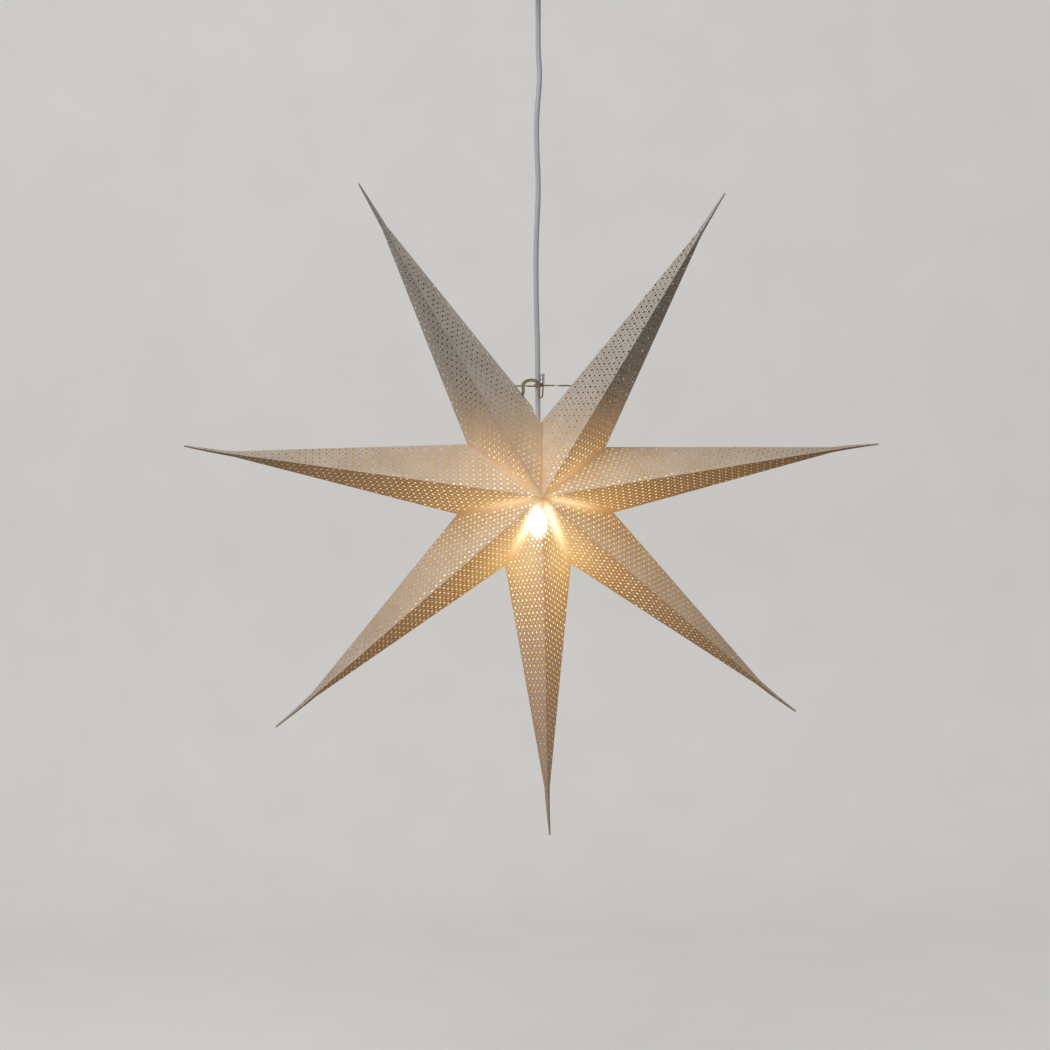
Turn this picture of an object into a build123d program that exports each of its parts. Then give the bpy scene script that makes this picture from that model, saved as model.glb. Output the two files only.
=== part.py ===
"""Hanging paper star lantern: a folded seven point star round a lamp on a mains cord.

Millimetres. The origin is on the ceiling, at the middle of the ceiling fitting's top face.
+Z is up, +X is to the viewer's right and +Y points away from the viewer.
"""
import os
from math import cos, hypot, radians, sin, tan

from build123d import *

os.makedirs("parts", exist_ok=True)

# Star: one sheet of paper is folded into each point, and the points are glued side by side
star_drop = 620.0
hub_half_depth = 67.0
paper = 0.5
blade_length = 55.0
neck_half_width = 3.1
tip_half_width = 0.9
tip_half_depth = 1.2
flange_width = 12.0
glue_gap = 0.1
open_seam_gap = 0.6

# Each point's direction, anticlockwise from +X as the viewer sees it, and its tip's reach
star_points = [
    ("point_right", 8.6, 390.5),
    ("point_upper_right", 58.2, 397.2),
    ("point_upper_left", 119.9, 398.3),
    ("point_left", 172.2, 397.2),
    ("point_lower_left", 221.6, 390.5),
    ("point_bottom", 271.8, 384.8),
    ("point_lower_right", 319.6, 382.6),
]
# The notch after each point, going round the same way: its direction and its reach
notches = [
    (35.2, 93.1),
    (86.2, 84.2),
    (144.3, 97.6),
    (193.2, 93.1),
    (245.1, 87.5),
    (295.6, 85.8),
    (346.7, 87.5),
]
open_seam = 1

# Room that the star keeps round the lamp and the cord, so that it can turn about them
lamp_room_radius = 20.0
lamp_room_top = 48.0
lamp_room_bottom = -75.0
cord_hole_radius = 5.5
cord_hole_start = 62.0

# Tie string, which closes the open seam and holds the star on the cord. The heights of its
# loop and ferrule count from the string's own height.
string_radius = 0.85
string_height = 122.3
string_hole_play = 0.35
string_clearance = 0.3
string_bend = 2.5
bow_half_width = 8.0
bow_share = 0.35
knot_radius = 2.2
knot_inset = 6.0
loop_left = 0.9
loop_right = 5.2
loop_bottom = -13.1
loop_shoulder = -3.3
loop_bend = 1.2
loop_forward = 1.2
arch_left = -18.0
arch_right = 0.3
arch_rise = 4.6
tail_x = (-15.4, -18.8)
tail_drop = (4.0, 10.5)
ferrule_radius = 2.9
ferrule_bore = 2.1
ferrule_bottom = 2.3
ferrule_height = 11.0
ferrule_edge = 0.35
ferrule_x = 4.3
ferrule_forward = 0.4
ferrule_lead = 1.4
ferrule_depth = 4.0
seam_clip_width = 6.0
seam_clip_leg = 8.0
seam_clip_sheet = 0.5
seam_clip_play = 0.2

# Mains cord
cord_radius = 2.85
cord_play = 0.15
flex_depth = 105.0
flex_gap = 0.3
cord_top = -33.0
# Corners of the hanging stretch: sideways offset and depth below the ceiling
cord_bends = [
    (0.0, -128.0),
    (2.2, -155.0),
    (-1.9, -200.0),
    (-1.6, -232.0),
    (0.8, -280.0),
    (-2.3, -335.0),
    (-2.2, -400.0),
    (0.0, -470.0),
]

# Lampholder, heights from the star's centre
holder_radius = 13.5
holder_wall = 1.8
holder_bottom = 4.0
holder_shoulder = 40.0
holder_lip = 2.0
spigot_height = 4.0
spigot_play = 0.2
spigot_wall = 1.6
cap_top = 58.0
cap_dome = 12.0
cap_neck_radius = 5.6
cap_roof = 2.4
liner_bore = 7.1
liner_wall = 0.4
liner_bottom = 6.2
insert_bottom = 26.0
insert_height = 12.0
insert_play = 0.3
grip_radius = 5.0
grip_height = 5.0
grip_chamfer = 0.5
holder_edge = 1.0
contact_stud_radius = 1.2
contact_stud_length = 6.0
screw_length = 6.0
screw_radius = 1.1
screw_head_radius = 1.9
screw_head_height = 1.4
screw_play = 0.05
screw_spacing = 12.0
lead_radius = 0.7
lead_spread = 1.1
lead_bend = 0.8
lead_drop = 2.2
contact_play = 0.3

# Candle bulb with a small screw base, heights from the star's centre
base_radius = 6.95
base_wall = 0.35
base_bottom = 3.4
base_top = 20.0
insulator_height = 2.5
insulator_top_radius = 3.4
button_radius = 2.5
button_height = 2.0
glass_radius = 17.5
glass_wall = 0.8
glass_neck_radius = 6.5
glass_neck_top = 12.0
glass_shoulder_radius = 8.2
glass_belly = -28.0
glass_tip = -64.0
glass_tip_radius = 5.0
glass_tip_turn = 46.0
stem_play = 0.1
stem_flange_height = 2.0
stem_radius = 2.2
stem_bottom = -14.0
filament_radius = 0.35
filament_half_width = 7.0
filament_height = -27.0

# Ceiling fitting, heights from the ceiling
strap_length = 76.0
strap_width = 22.0
strap_sheet = 2.0
strap_corner = 5.0
strap_hole_radius = 2.6
strap_hole_spacing = 62.0
hook_radius = 1.6
hook_play = 0.1
hook_nut_width = 7.0
hook_nut_height = 3.2
hook_half_width = 6.5
hook_neck = -10.0
hook_side_top = -13.0
hook_end = -16.0
hook_floor = -24.0
hook_bend = 2.6
eye_radius = 2.6
eye_rim = 2.2
eye_sheet = 3.0
eye_play = 0.3
barrel_radius = 6.0
barrel_top = -30.0
barrel_length = 14.0
block_x = 20.5
block_length = 13.0
block_width = 18.0
block_height = 12.0
block_pole = 4.2
block_bolt_x = 3.2
block_edge = 1.2
core_x = 3.8
core_y = 2.6
core_rise = 2.4
core_step = 1.6
core_side = 6.6
cup_radius = 45.0
cup_top = -1.0
cup_bottom = -49.0
cup_wall = 2.0
cup_bend = 12.0
collar_radius = 9.0
collar_length = 8.0
collar_edge = 1.2
grommet_radius = 6.0
grommet_rim = 1.2
set_screw_radius = 1.5
set_screw_head = 2.6
set_screw_head_length = 3.0

centre_z = -star_drop
centre = Vector(0, 0, centre_z)
front = Vector(0, -1, 0)
count = len(star_points)


def radial(angle):
    """Unit vector in the star's plane, anticlockwise from +X as the viewer sees it."""
    return Vector(cos(radians(angle)), 0, sin(radians(angle)))


def sideways(angle):
    """Unit vector a quarter turn anticlockwise from radial(angle)."""
    return radial(angle + 90)


def tube_path_radii(points):
    """Largest smooth bend at each corner: 0.45 of its shorter run over tan(half the turn)."""
    radii = []
    for before, here, after in zip(points, points[1:], points[2:]):
        run_in = here - before
        run_out = after - here
        turn = radians(run_in.get_angle(run_out))
        shorter = min(run_in.length, run_out.length)
        radii.append(0.45 * shorter / tan(turn / 2))
    return radii


def notch_in_point(direction, notch):
    """A notch's place along and across a point's own axis."""
    angle, reach = notch
    lean = radians(angle - direction)
    return reach * cos(lean), reach * abs(sin(lean))


def edge_half_width(direction, reach, notch, station):
    """Half width of a point on the side of one notch, at a distance from the centre."""
    neck = reach - blade_length
    notch_along, notch_across = notch_in_point(direction, notch)
    slope = (notch_across - neck_half_width) / (neck - notch_along)
    return neck_half_width + slope * (neck - station)


def seam_inner(notch_reach):
    """Reach and half depth of a glue flange's inner edge in its seam plane."""
    slant = hypot(notch_reach, hub_half_depth)
    inner_reach = notch_reach - flange_width * slant / hub_half_depth
    inner_depth = hub_half_depth - flange_width * slant / notch_reach
    return inner_reach, inner_depth


def fold_at_height(index, side, height):
    """X of a top point's edge fold where it crosses a height above the star's centre."""
    name, direction, reach = star_points[index]
    notch_angle, notch_reach = notches[open_seam]
    low = radial(notch_angle) * notch_reach
    neck = reach - blade_length
    high = radial(direction) * neck + sideways(direction) * (side * neck_half_width)
    share = (height - low.Z) / (high.Z - low.Z)
    return low.X + share * (high.X - low.X)


string_y = -(cord_radius + string_clearance + string_radius)
fold_left = fold_at_height(open_seam + 1, -1, string_height)
fold_right = fold_at_height(open_seam, 1, string_height)
string_z = centre_z + string_height

# Star points
for index, (name, direction, reach) in enumerate(star_points):
    before = notches[index - 1]
    after = notches[index]
    gap_before = open_seam_gap / 2 if (index - 1) % count == open_seam else glue_gap / 2
    gap_after = open_seam_gap / 2 if index == open_seam else glue_gap / 2
    along = radial(direction)
    across = sideways(direction)
    neck = reach - blade_length
    neck_half_depth = hub_half_depth * (1 - neck / reach)
    root_left = edge_half_width(direction, reach, after, 0)
    root_right = edge_half_width(direction, reach, before, 0)
    stations = [
        (0, hub_half_depth, root_left, root_right),
        (neck, neck_half_depth, neck_half_width, neck_half_width),
        (reach, tip_half_depth, tip_half_width, tip_half_width),
    ]
    with BuildPart() as point:
        for station, half_depth, left, right in stations:
            with BuildSketch(Plane(centre + along * station, x_dir=across, z_dir=along)):
                with BuildLine():
                    Polyline((left, 0), (0, half_depth), (-right, 0), (0, -half_depth), close=True)
                make_face()
        loft(ruled=True)
        for station, half_depth, left, right in stations[:2]:
            mean = (left + right) / 2
            inner_depth = half_depth - paper * hypot(half_depth, mean) / mean
            inner_left = left - paper * hypot(half_depth, left) / half_depth
            inner_right = right - paper * hypot(half_depth, right) / half_depth
            with BuildSketch(Plane(centre + along * station, x_dir=across, z_dir=along)):
                with BuildLine():
                    Polyline(
                        (inner_left, 0),
                        (0, inner_depth),
                        (-inner_right, 0),
                        (0, -inner_depth),
                        close=True,
                    )
                make_face()
        loft(ruled=True, mode=Mode.SUBTRACT)
        # Glue flanges, folded inwards along both seams
        seams = ((before, gap_before, 1), (after, gap_after, -1))
        for (angle, notch_reach), gap, turn in seams:
            inner_reach, inner_depth = seam_inner(notch_reach)
            inward = sideways(angle) * turn
            with BuildSketch(Plane(centre + inward * gap, x_dir=radial(angle), z_dir=inward)):
                with BuildLine():
                    Polyline(
                        (0, hub_half_depth),
                        (notch_reach, 0),
                        (0, -hub_half_depth),
                        (0, -inner_depth),
                        (inner_reach, 0),
                        (0, inner_depth),
                        close=True,
                    )
                make_face()
            extrude(amount=paper)
        # The point stops at its two seam planes
        opening = radians((after[0] - before[0]) % 360)
        apex = (
            radial(before[0]) * (gap_after + gap_before * cos(opening)) / sin(opening)
            + sideways(before[0]) * gap_before
        )
        far_before = apex + radial(before[0]) * reach * 2
        far_after = apex + radial(after[0]) * reach * 2
        with BuildSketch(Plane.XZ.offset(hub_half_depth + paper)):
            with BuildLine():
                Polyline(
                    (apex.X, apex.Z + centre_z),
                    (far_before.X, far_before.Z + centre_z),
                    (far_after.X, far_after.Z + centre_z),
                    close=True,
                )
            make_face()
        extrude(amount=-2 * (hub_half_depth + paper), mode=Mode.INTERSECT)
        # Room for the lamp and the cord
        with BuildSketch(Plane.XZ):
            with BuildLine():
                Polyline(
                    (0, centre_z + lamp_room_bottom),
                    (lamp_room_radius, centre_z + lamp_room_bottom),
                    (lamp_room_radius, centre_z + lamp_room_top),
                    (cord_hole_radius, centre_z + cord_hole_start),
                    (cord_hole_radius, string_z),
                    (0, string_z),
                    close=True,
                )
            make_face()
        revolve(axis=Axis.Z, mode=Mode.SUBTRACT)
        if index in (open_seam, open_seam + 1):
            with BuildSketch(Plane.YZ.offset(fold_left - knot_inset)):
                with Locations((0, string_z)):
                    Circle(string_radius + string_hole_play)
            extrude(amount=fold_right - fold_left + 2 * knot_inset, mode=Mode.SUBTRACT)
    point.part.label = name
    export_step(point.part, f"parts/{name}.step")

# Tie string: a run from fold to fold, a turn round the cord, an arch, a loop and a tail
ferrule_y = string_y - ferrule_forward
ferrule_z = string_z + ferrule_bottom
loop_y = string_y - loop_forward
run_share = (arch_left - fold_left + knot_inset) / (-bow_half_width - fold_left + knot_inset)
arch_start = (arch_left, run_share * bow_share * string_y, string_z)
with BuildPart() as tie_string:
    with BuildLine() as string_run:
        FilletPolyline(
            (fold_left - knot_inset, 0, string_z),
            (-bow_half_width, bow_share * string_y, string_z),
            (-string_bend, string_y, string_z),
            (string_bend, string_y, string_z),
            (bow_half_width, bow_share * string_y, string_z),
            (fold_right + knot_inset, 0, string_z),
            radius=string_bend,
        )
    with BuildSketch(Plane(origin=string_run.line @ 0, z_dir=string_run.line % 0)):
        Circle(string_radius)
    sweep(path=string_run.line)
    with BuildSketch(Plane.XZ):
        with Locations((-string_y, string_z)):
            Circle(string_radius)
    revolve(axis=Axis.Z)
    with BuildLine() as string_arch:
        ThreePointArc(
            arch_start,
            ((arch_left + arch_right) / 2, string_y, string_z + arch_rise),
            (arch_right, string_y, string_z),
        )
    with BuildSketch(Plane(origin=string_arch.line @ 0, z_dir=string_arch.line % 0)):
        Circle(string_radius)
    sweep(path=string_arch.line)
    with BuildLine() as string_loop:
        FilletPolyline(
            (ferrule_x - lead_spread, ferrule_y, ferrule_z + ferrule_depth),
            (ferrule_x - lead_spread, ferrule_y, ferrule_z - ferrule_lead),
            (loop_left, loop_y, string_z + loop_shoulder),
            (loop_left, loop_y, string_z + loop_bottom),
            (loop_right, loop_y, string_z + loop_bottom),
            (loop_right, loop_y, string_z + loop_shoulder),
            (ferrule_x + lead_spread, ferrule_y, ferrule_z - ferrule_lead),
            (ferrule_x + lead_spread, ferrule_y, ferrule_z + ferrule_depth),
            radius=loop_bend,
        )
    with BuildSketch(Plane(origin=string_loop.line @ 0, z_dir=string_loop.line % 0)):
        Circle(string_radius)
    sweep(path=string_loop.line)
    with BuildLine() as string_tail:
        FilletPolyline(
            arch_start,
            (tail_x[0], string_y, string_z - tail_drop[0]),
            (tail_x[1], string_y, string_z - tail_drop[1]),
            radius=string_bend,
        )
    with BuildSketch(Plane(origin=string_tail.line @ 0, z_dir=string_tail.line % 0)):
        Circle(string_radius)
    sweep(path=string_tail.line)
    with Locations(
        (fold_left - knot_inset, 0, string_z),
        (fold_right + knot_inset, 0, string_z),
    ):
        Sphere(knot_radius)
tie_string.part.label = "tie_string"
export_step(tie_string.part, "parts/tie_string.step")

# Crimped metal sleeve that holds both ends of the string's loop
with BuildPart() as string_ferrule:
    with BuildSketch(Plane.XY.offset(ferrule_z)):
        with Locations((ferrule_x, ferrule_y)):
            Circle(ferrule_radius)
            Circle(ferrule_bore, mode=Mode.SUBTRACT)
    extrude(amount=ferrule_height)
    fillet(string_ferrule.edges().filter_by(GeomType.CIRCLE).group_by(Axis.Z)[-1], ferrule_edge)
string_ferrule.part.label = "string_ferrule"
export_step(string_ferrule.part, "parts/string_ferrule.step")

# Spring clips inside the star, over the flanges of the open seam
seam_angle, seam_reach = notches[open_seam]
seam_inner_reach, seam_inner_depth = seam_inner(seam_reach)
clip_half = open_seam_gap / 2 + paper + seam_clip_play
with BuildPart() as seam_clips:
    for side in (1, -1):
        middle = (
            centre
            + radial(seam_angle) * (seam_inner_reach / 2)
            + front * (side * seam_inner_depth / 2)
        )
        run = radial(seam_angle) * (-side * seam_inner_reach) + front * seam_inner_depth
        run = run.normalized()
        start = middle - run * (seam_clip_width / 2)
        with BuildSketch(Plane(start, x_dir=sideways(seam_angle), z_dir=run)):
            with BuildLine():
                Polyline(
                    (-clip_half - seam_clip_sheet, seam_clip_play + seam_clip_sheet),
                    (clip_half + seam_clip_sheet, seam_clip_play + seam_clip_sheet),
                    (clip_half + seam_clip_sheet, -seam_clip_leg),
                    (clip_half, -seam_clip_leg),
                    (clip_half, seam_clip_play),
                    (-clip_half, seam_clip_play),
                    (-clip_half, -seam_clip_leg),
                    (-clip_half - seam_clip_sheet, -seam_clip_leg),
                    close=True,
                )
            make_face()
        extrude(amount=seam_clip_width)
seam_clips.part.label = "seam_clips"
export_step(seam_clips.part, "parts/seam_clips.step")

# Mains cord: a short stretch above the flex point and the long stretch below it
with BuildPart() as cord_upper:
    with BuildSketch(Plane.XY.offset(cord_top)):
        Circle(cord_radius)
    extrude(amount=-(cord_top + flex_depth - cord_radius - flex_gap))
cord_upper.part.label = "cord_upper"
export_step(cord_upper.part, "parts/cord_upper.step")

cord_end = centre_z + holder_shoulder + spigot_height + cord_play
route = [Vector(0, 0, -flex_depth)]
route += [Vector(x, 0, z) for x, z in cord_bends]
route += [Vector(0, 0, cord_end)]
bend_radii = tube_path_radii(route)
with BuildPart() as cord_lower:
    with BuildLine() as cord_line:
        FilletPolyline(*route, radius=bend_radii)
    with BuildSketch(Plane(origin=cord_line.line @ 0, z_dir=cord_line.line % 0)):
        Circle(cord_radius)
    sweep(path=cord_line.line)
    with Locations((0, 0, -flex_depth)):
        Sphere(cord_radius)
cord_lower.part.label = "cord_lower"
export_step(cord_lower.part, "parts/cord_lower.step")
print("cord bend radii, mm:", [round(radius) for radius in bend_radii])
cord_length = sum(edge.length for edge in cord_line.edges())
print("cord length below the flex point, mm:", round(cord_length, 1))

# Lampholder cap, a moulded dome that the cord comes through
holder_bore = holder_radius - holder_wall
cap_foot = centre_z + holder_shoulder
cap_shoulder = centre_z + cap_top - cap_dome
grip_top = centre_z + cap_top - cap_roof - cap_dome / 3
with BuildPart() as lampholder_cap:
    with BuildSketch(Plane.XZ):
        with BuildLine():
            Line((holder_bore, cap_foot), (holder_radius, cap_foot))
            Line((holder_radius, cap_foot), (holder_radius, cap_shoulder))
            JernArc((holder_radius, cap_shoulder), (0, 1), holder_radius - cap_neck_radius, 90)
            Line((cap_neck_radius, cap_shoulder + holder_radius - cap_neck_radius),
                 (cap_neck_radius, centre_z + cap_top))
            Line((cap_neck_radius, centre_z + cap_top), (cord_radius + cord_play, centre_z + cap_top))
            Line((cord_radius + cord_play, centre_z + cap_top), (cord_radius + cord_play, grip_top))
            Line((cord_radius + cord_play, grip_top), (grip_radius + cord_play, grip_top))
            Line((grip_radius + cord_play, grip_top), (holder_bore, cap_shoulder))
            Line((holder_bore, cap_shoulder), (holder_bore, cap_foot))
        make_face()
    revolve(axis=Axis.Z)
lampholder_cap.part.label = "lampholder_cap"
export_step(lampholder_cap.part, "parts/lampholder_cap.step")

# Grip that the cap squeezes round the cord, so that the cord carries the lamp and the star
with BuildPart() as cord_grip:
    with BuildSketch(Plane.XY.offset(grip_top)):
        Circle(grip_radius)
        Circle(cord_radius + screw_play, mode=Mode.SUBTRACT)
    extrude(amount=-grip_height)
    chamfer(cord_grip.edges().group_by(Axis.Z)[0], grip_chamfer)
cord_grip.part.label = "cord_grip"
export_step(cord_grip.part, "parts/cord_grip.step")

# Lampholder body, a moulded sleeve with a ledge for the insert and a spigot for the cap
spigot_radius = holder_bore - spigot_play
chamber_radius = spigot_radius - spigot_wall
liner_radius = liner_bore + liner_wall
with BuildPart() as lampholder_body:
    with BuildSketch(Plane.XY.offset(centre_z + holder_bottom)):
        Circle(holder_radius)
    extrude(amount=holder_shoulder - holder_bottom)
    with BuildSketch(Plane.XY.offset(cap_foot)):
        Circle(spigot_radius)
    extrude(amount=spigot_height)
    with BuildSketch(Plane.XY.offset(centre_z + insert_bottom)):
        Circle(chamber_radius)
    extrude(amount=cap_foot + spigot_height - centre_z - insert_bottom, mode=Mode.SUBTRACT)
    with BuildSketch(Plane.XY.offset(centre_z + holder_bottom + holder_lip)):
        Circle(liner_radius + insert_play)
    extrude(amount=insert_bottom - holder_bottom - holder_lip, mode=Mode.SUBTRACT)
    with BuildSketch(Plane.XY.offset(centre_z + holder_bottom)):
        Circle(liner_bore + insert_play)
    extrude(amount=holder_lip, mode=Mode.SUBTRACT)
    fillet(lampholder_body.edges().group_by(Axis.Z)[0].sort_by(SortBy.RADIUS)[-1], holder_edge)
lampholder_body.part.label = "lampholder_body"
export_step(lampholder_body.part, "parts/lampholder_body.step")

# Brass shell that the bulb's base screws into
with BuildPart() as socket_liner:
    with BuildSketch(Plane.XY.offset(centre_z + liner_bottom)):
        Circle(liner_radius)
        Circle(liner_bore, mode=Mode.SUBTRACT)
    extrude(amount=insert_bottom - liner_bottom)
socket_liner.part.label = "socket_liner"
export_step(socket_liner.part, "parts/socket_liner.step")

# Ceramic insert on the body's ledge, with the terminals on top
insert_top = centre_z + insert_bottom + insert_height
with BuildPart() as contact_insert:
    with BuildSketch(Plane.XY.offset(centre_z + insert_bottom)):
        Circle(chamber_radius - insert_play)
        with GridLocations(screw_spacing, 0, 2, 1):
            Circle(screw_radius, mode=Mode.SUBTRACT)
        Circle(contact_stud_radius + screw_play, mode=Mode.SUBTRACT)
    extrude(amount=insert_height)
contact_insert.part.label = "contact_insert"
export_step(contact_insert.part, "parts/contact_insert.step")

# Centre contact, riveted under the insert just above the bulb's button
button_top = base_top + insulator_height + button_height
with BuildPart() as centre_contact:
    with BuildSketch(Plane.XY.offset(centre_z + button_top + contact_play)):
        Circle(button_radius)
    extrude(amount=insert_bottom - button_top - contact_play)
    with BuildSketch(Plane.XY.offset(centre_z + insert_bottom)):
        Circle(contact_stud_radius)
    extrude(amount=contact_stud_length)
centre_contact.part.label = "centre_contact"
export_step(centre_contact.part, "parts/centre_contact.step")

# Terminal screws of the lampholder
with BuildPart() as lampholder_screws:
    with BuildSketch(Plane.XY.offset(insert_top)):
        with GridLocations(screw_spacing, 0, 2, 1):
            Circle(screw_head_radius)
    extrude(amount=screw_head_height)
    with BuildSketch(Plane.XY.offset(insert_top)):
        with GridLocations(screw_spacing, 0, 2, 1):
            Circle(screw_radius - screw_play)
    extrude(amount=-screw_length)
lampholder_screws.part.label = "lampholder_screws"
export_step(lampholder_screws.part, "parts/lampholder_screws.step")

# Two cores from the cord's end to the lampholder's terminals
with BuildPart() as lamp_leads:
    for side in (1, -1):
        with BuildLine() as lead:
            FilletPolyline(
                (side * lead_spread, 0, cord_end),
                (side * lead_spread, 0, cord_end - lead_drop),
                (side * screw_spacing / 2, 0, cord_end - lead_drop),
                (side * screw_spacing / 2, 0, insert_top + screw_head_height),
                radius=lead_bend,
            )
        with BuildSketch(Plane(origin=lead.line @ 0, z_dir=lead.line % 0)):
            Circle(lead_radius)
        sweep(path=lead.line)
lamp_leads.part.label = "lamp_leads"
export_step(lamp_leads.part, "parts/lamp_leads.step")

# Bulb base, a thin screw shell
with BuildPart() as bulb_base:
    with BuildSketch(Plane.XY.offset(centre_z + base_bottom)):
        Circle(base_radius)
        Circle(base_radius - base_wall, mode=Mode.SUBTRACT)
    extrude(amount=base_top - base_bottom)
bulb_base.part.label = "bulb_base"
export_step(bulb_base.part, "parts/bulb_base.step")

# Black glass insulator on the base, and the solder button on it
with BuildPart() as bulb_insulator:
    with BuildSketch(Plane.XY.offset(centre_z + base_top)):
        Circle(base_radius)
    with BuildSketch(Plane.XY.offset(centre_z + base_top + insulator_height)):
        Circle(insulator_top_radius)
    loft()
bulb_insulator.part.label = "bulb_insulator"
export_step(bulb_insulator.part, "parts/bulb_insulator.step")

with BuildPart() as bulb_button:
    with BuildSketch(Plane.XY.offset(centre_z + base_top + insulator_height)):
        Circle(button_radius)
    extrude(amount=button_height)
    fillet(bulb_button.edges().group_by(Axis.Z)[-1], button_height / 3)
bulb_button.part.label = "bulb_button"
export_step(bulb_button.part, "parts/bulb_button.step")

# Frosted glass candle: a neck inside the base, a shoulder, a belly and a rounded tip
with BuildPart() as bulb_glass:
    for inset, mode in ((0.0, Mode.ADD), (glass_wall, Mode.SUBTRACT)):
        neck = glass_neck_radius - inset
        neck_top = (neck, centre_z + glass_neck_top)
        neck_foot = (neck, centre_z + base_bottom - inset)
        shoulder = (glass_shoulder_radius - inset, centre_z - inset)
        belly = (glass_radius - inset, centre_z + glass_belly)
        tip = (0, centre_z + glass_tip + inset)
        with BuildSketch(Plane.XZ):
            with BuildLine():
                tip_arc = JernArc(tip, (1, 0), glass_tip_radius - inset, glass_tip_turn)
                flank_arc = TangentArc(tip_arc @ 1, belly, tangent=tip_arc % 1)
                TangentArc(belly, shoulder, tangent=(0, 1))
                Polyline(shoulder, neck_foot, neck_top, (0, neck_top[1]), tip)
            make_face()
        revolve(axis=Axis.Z, mode=mode)
bulb_glass.part.label = "bulb_glass"
export_step(bulb_glass.part, "parts/bulb_glass.step")

# Glass stem inside the neck, and the filament that it carries
with BuildPart() as bulb_stem:
    with BuildSketch(Plane.XY.offset(centre_z + glass_neck_top)):
        Circle(glass_neck_radius - glass_wall - stem_play)
    extrude(amount=-stem_flange_height)
    with BuildSketch(Plane.XY.offset(centre_z + glass_neck_top - stem_flange_height)):
        Circle(stem_radius)
    extrude(amount=stem_bottom - glass_neck_top + stem_flange_height)
bulb_stem.part.label = "bulb_stem"
export_step(bulb_stem.part, "parts/bulb_stem.step")

with BuildPart() as filament:
    with BuildLine() as filament_line:
        FilletPolyline(
            (-lead_spread, 0, centre_z + stem_bottom),
            (-lead_spread, 0, centre_z + stem_bottom - lead_drop),
            (-filament_half_width, 0, centre_z + filament_height),
            (filament_half_width, 0, centre_z + filament_height),
            (lead_spread, 0, centre_z + stem_bottom - lead_drop),
            (lead_spread, 0, centre_z + stem_bottom),
            radius=lead_bend,
        )
    with BuildSketch(Plane(origin=filament_line.line @ 0, z_dir=filament_line.line % 0)):
        Circle(filament_radius)
    sweep(path=filament_line.line)
filament.part.label = "filament"
export_step(filament.part, "parts/filament.step")

# Steel strap that is screwed to the ceiling
with BuildPart() as ceiling_strap:
    with BuildSketch(Plane.XY):
        RectangleRounded(strap_length, strap_width, strap_corner)
        Circle(hook_radius + hook_play, mode=Mode.SUBTRACT)
        with GridLocations(strap_hole_spacing, 0, 2, 1):
            Circle(strap_hole_radius, mode=Mode.SUBTRACT)
    extrude(amount=-strap_sheet)
ceiling_strap.part.label = "ceiling_strap"
export_step(ceiling_strap.part, "parts/ceiling_strap.step")

# Bent wire hook through the strap, and its nut
with BuildPart() as ceiling_hook:
    with BuildLine() as hook_line:
        FilletPolyline(
            (0, 0, 0),
            (0, 0, hook_neck),
            (-hook_half_width, 0, hook_side_top),
            (-hook_half_width, 0, hook_floor),
            (hook_half_width, 0, hook_floor),
            (hook_half_width, 0, hook_end),
            radius=hook_bend,
        )
    with BuildSketch(Plane(origin=(0, 0, 0), z_dir=(0, 0, -1))):
        Circle(hook_radius)
    sweep(path=hook_line.line)
ceiling_hook.part.label = "ceiling_hook"
export_step(ceiling_hook.part, "parts/ceiling_hook.step")

with BuildPart() as hook_nut:
    with BuildSketch(Plane.XY.offset(-strap_sheet)):
        RegularPolygon(hook_nut_width / 2, 6, major_radius=False)
        Circle(hook_radius + hook_play, mode=Mode.SUBTRACT)
    extrude(amount=-hook_nut_height)
hook_nut.part.label = "hook_nut"
export_step(hook_nut.part, "parts/hook_nut.step")

# Cord hanger: an eye on the hook, and a barrel that grips the cord
eye_z = hook_floor + hook_radius + eye_play - eye_radius
with BuildPart() as cord_hanger:
    with BuildSketch(Plane.YZ.offset(-eye_sheet / 2)):
        with Locations((0, eye_z)):
            Circle(eye_radius + eye_rim)
        with Locations((0, (eye_z + barrel_top) / 2)):
            Rectangle(2 * eye_radius + eye_rim, eye_z - barrel_top)
        with Locations((0, eye_z)):
            Circle(eye_radius, mode=Mode.SUBTRACT)
    extrude(amount=eye_sheet)
    with BuildSketch(Plane.XY.offset(barrel_top)):
        Circle(barrel_radius)
    extrude(amount=-barrel_length)
    with BuildSketch(Plane.XY.offset(barrel_top - barrel_length)):
        Circle(cord_radius + cord_play)
    extrude(amount=cord_top - barrel_top + barrel_length, mode=Mode.SUBTRACT)
cord_hanger.part.label = "cord_hanger"
export_step(cord_hanger.part, "parts/cord_hanger.step")

# Terminal block under the strap, with its screws and the cord's two cores
block_foot = -strap_sheet - block_height
with BuildPart() as terminal_block:
    with BuildSketch(Plane.XY.offset(-strap_sheet)):
        with Locations((block_x, 0)):
            RectangleRounded(block_length, block_width, block_edge)
        with Locations((block_x + block_bolt_x, 0)):
            with GridLocations(0, 2 * block_pole, 1, 2):
                Circle(screw_radius, mode=Mode.SUBTRACT)
    extrude(amount=-block_height)
terminal_block.part.label = "terminal_block"
export_step(terminal_block.part, "parts/terminal_block.step")

with BuildPart() as terminal_screws:
    with BuildSketch(Plane.XY.offset(block_foot)):
        with Locations((block_x + block_bolt_x, 0)):
            with GridLocations(0, 2 * block_pole, 1, 2):
                Circle(screw_head_radius)
    extrude(amount=-screw_head_height)
    with BuildSketch(Plane.XY.offset(block_foot)):
        with Locations((block_x + block_bolt_x, 0)):
            with GridLocations(0, 2 * block_pole, 1, 2):
                Circle(screw_radius - screw_play)
    extrude(amount=screw_length)
terminal_screws.part.label = "terminal_screws"
export_step(terminal_screws.part, "parts/terminal_screws.step")

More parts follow.
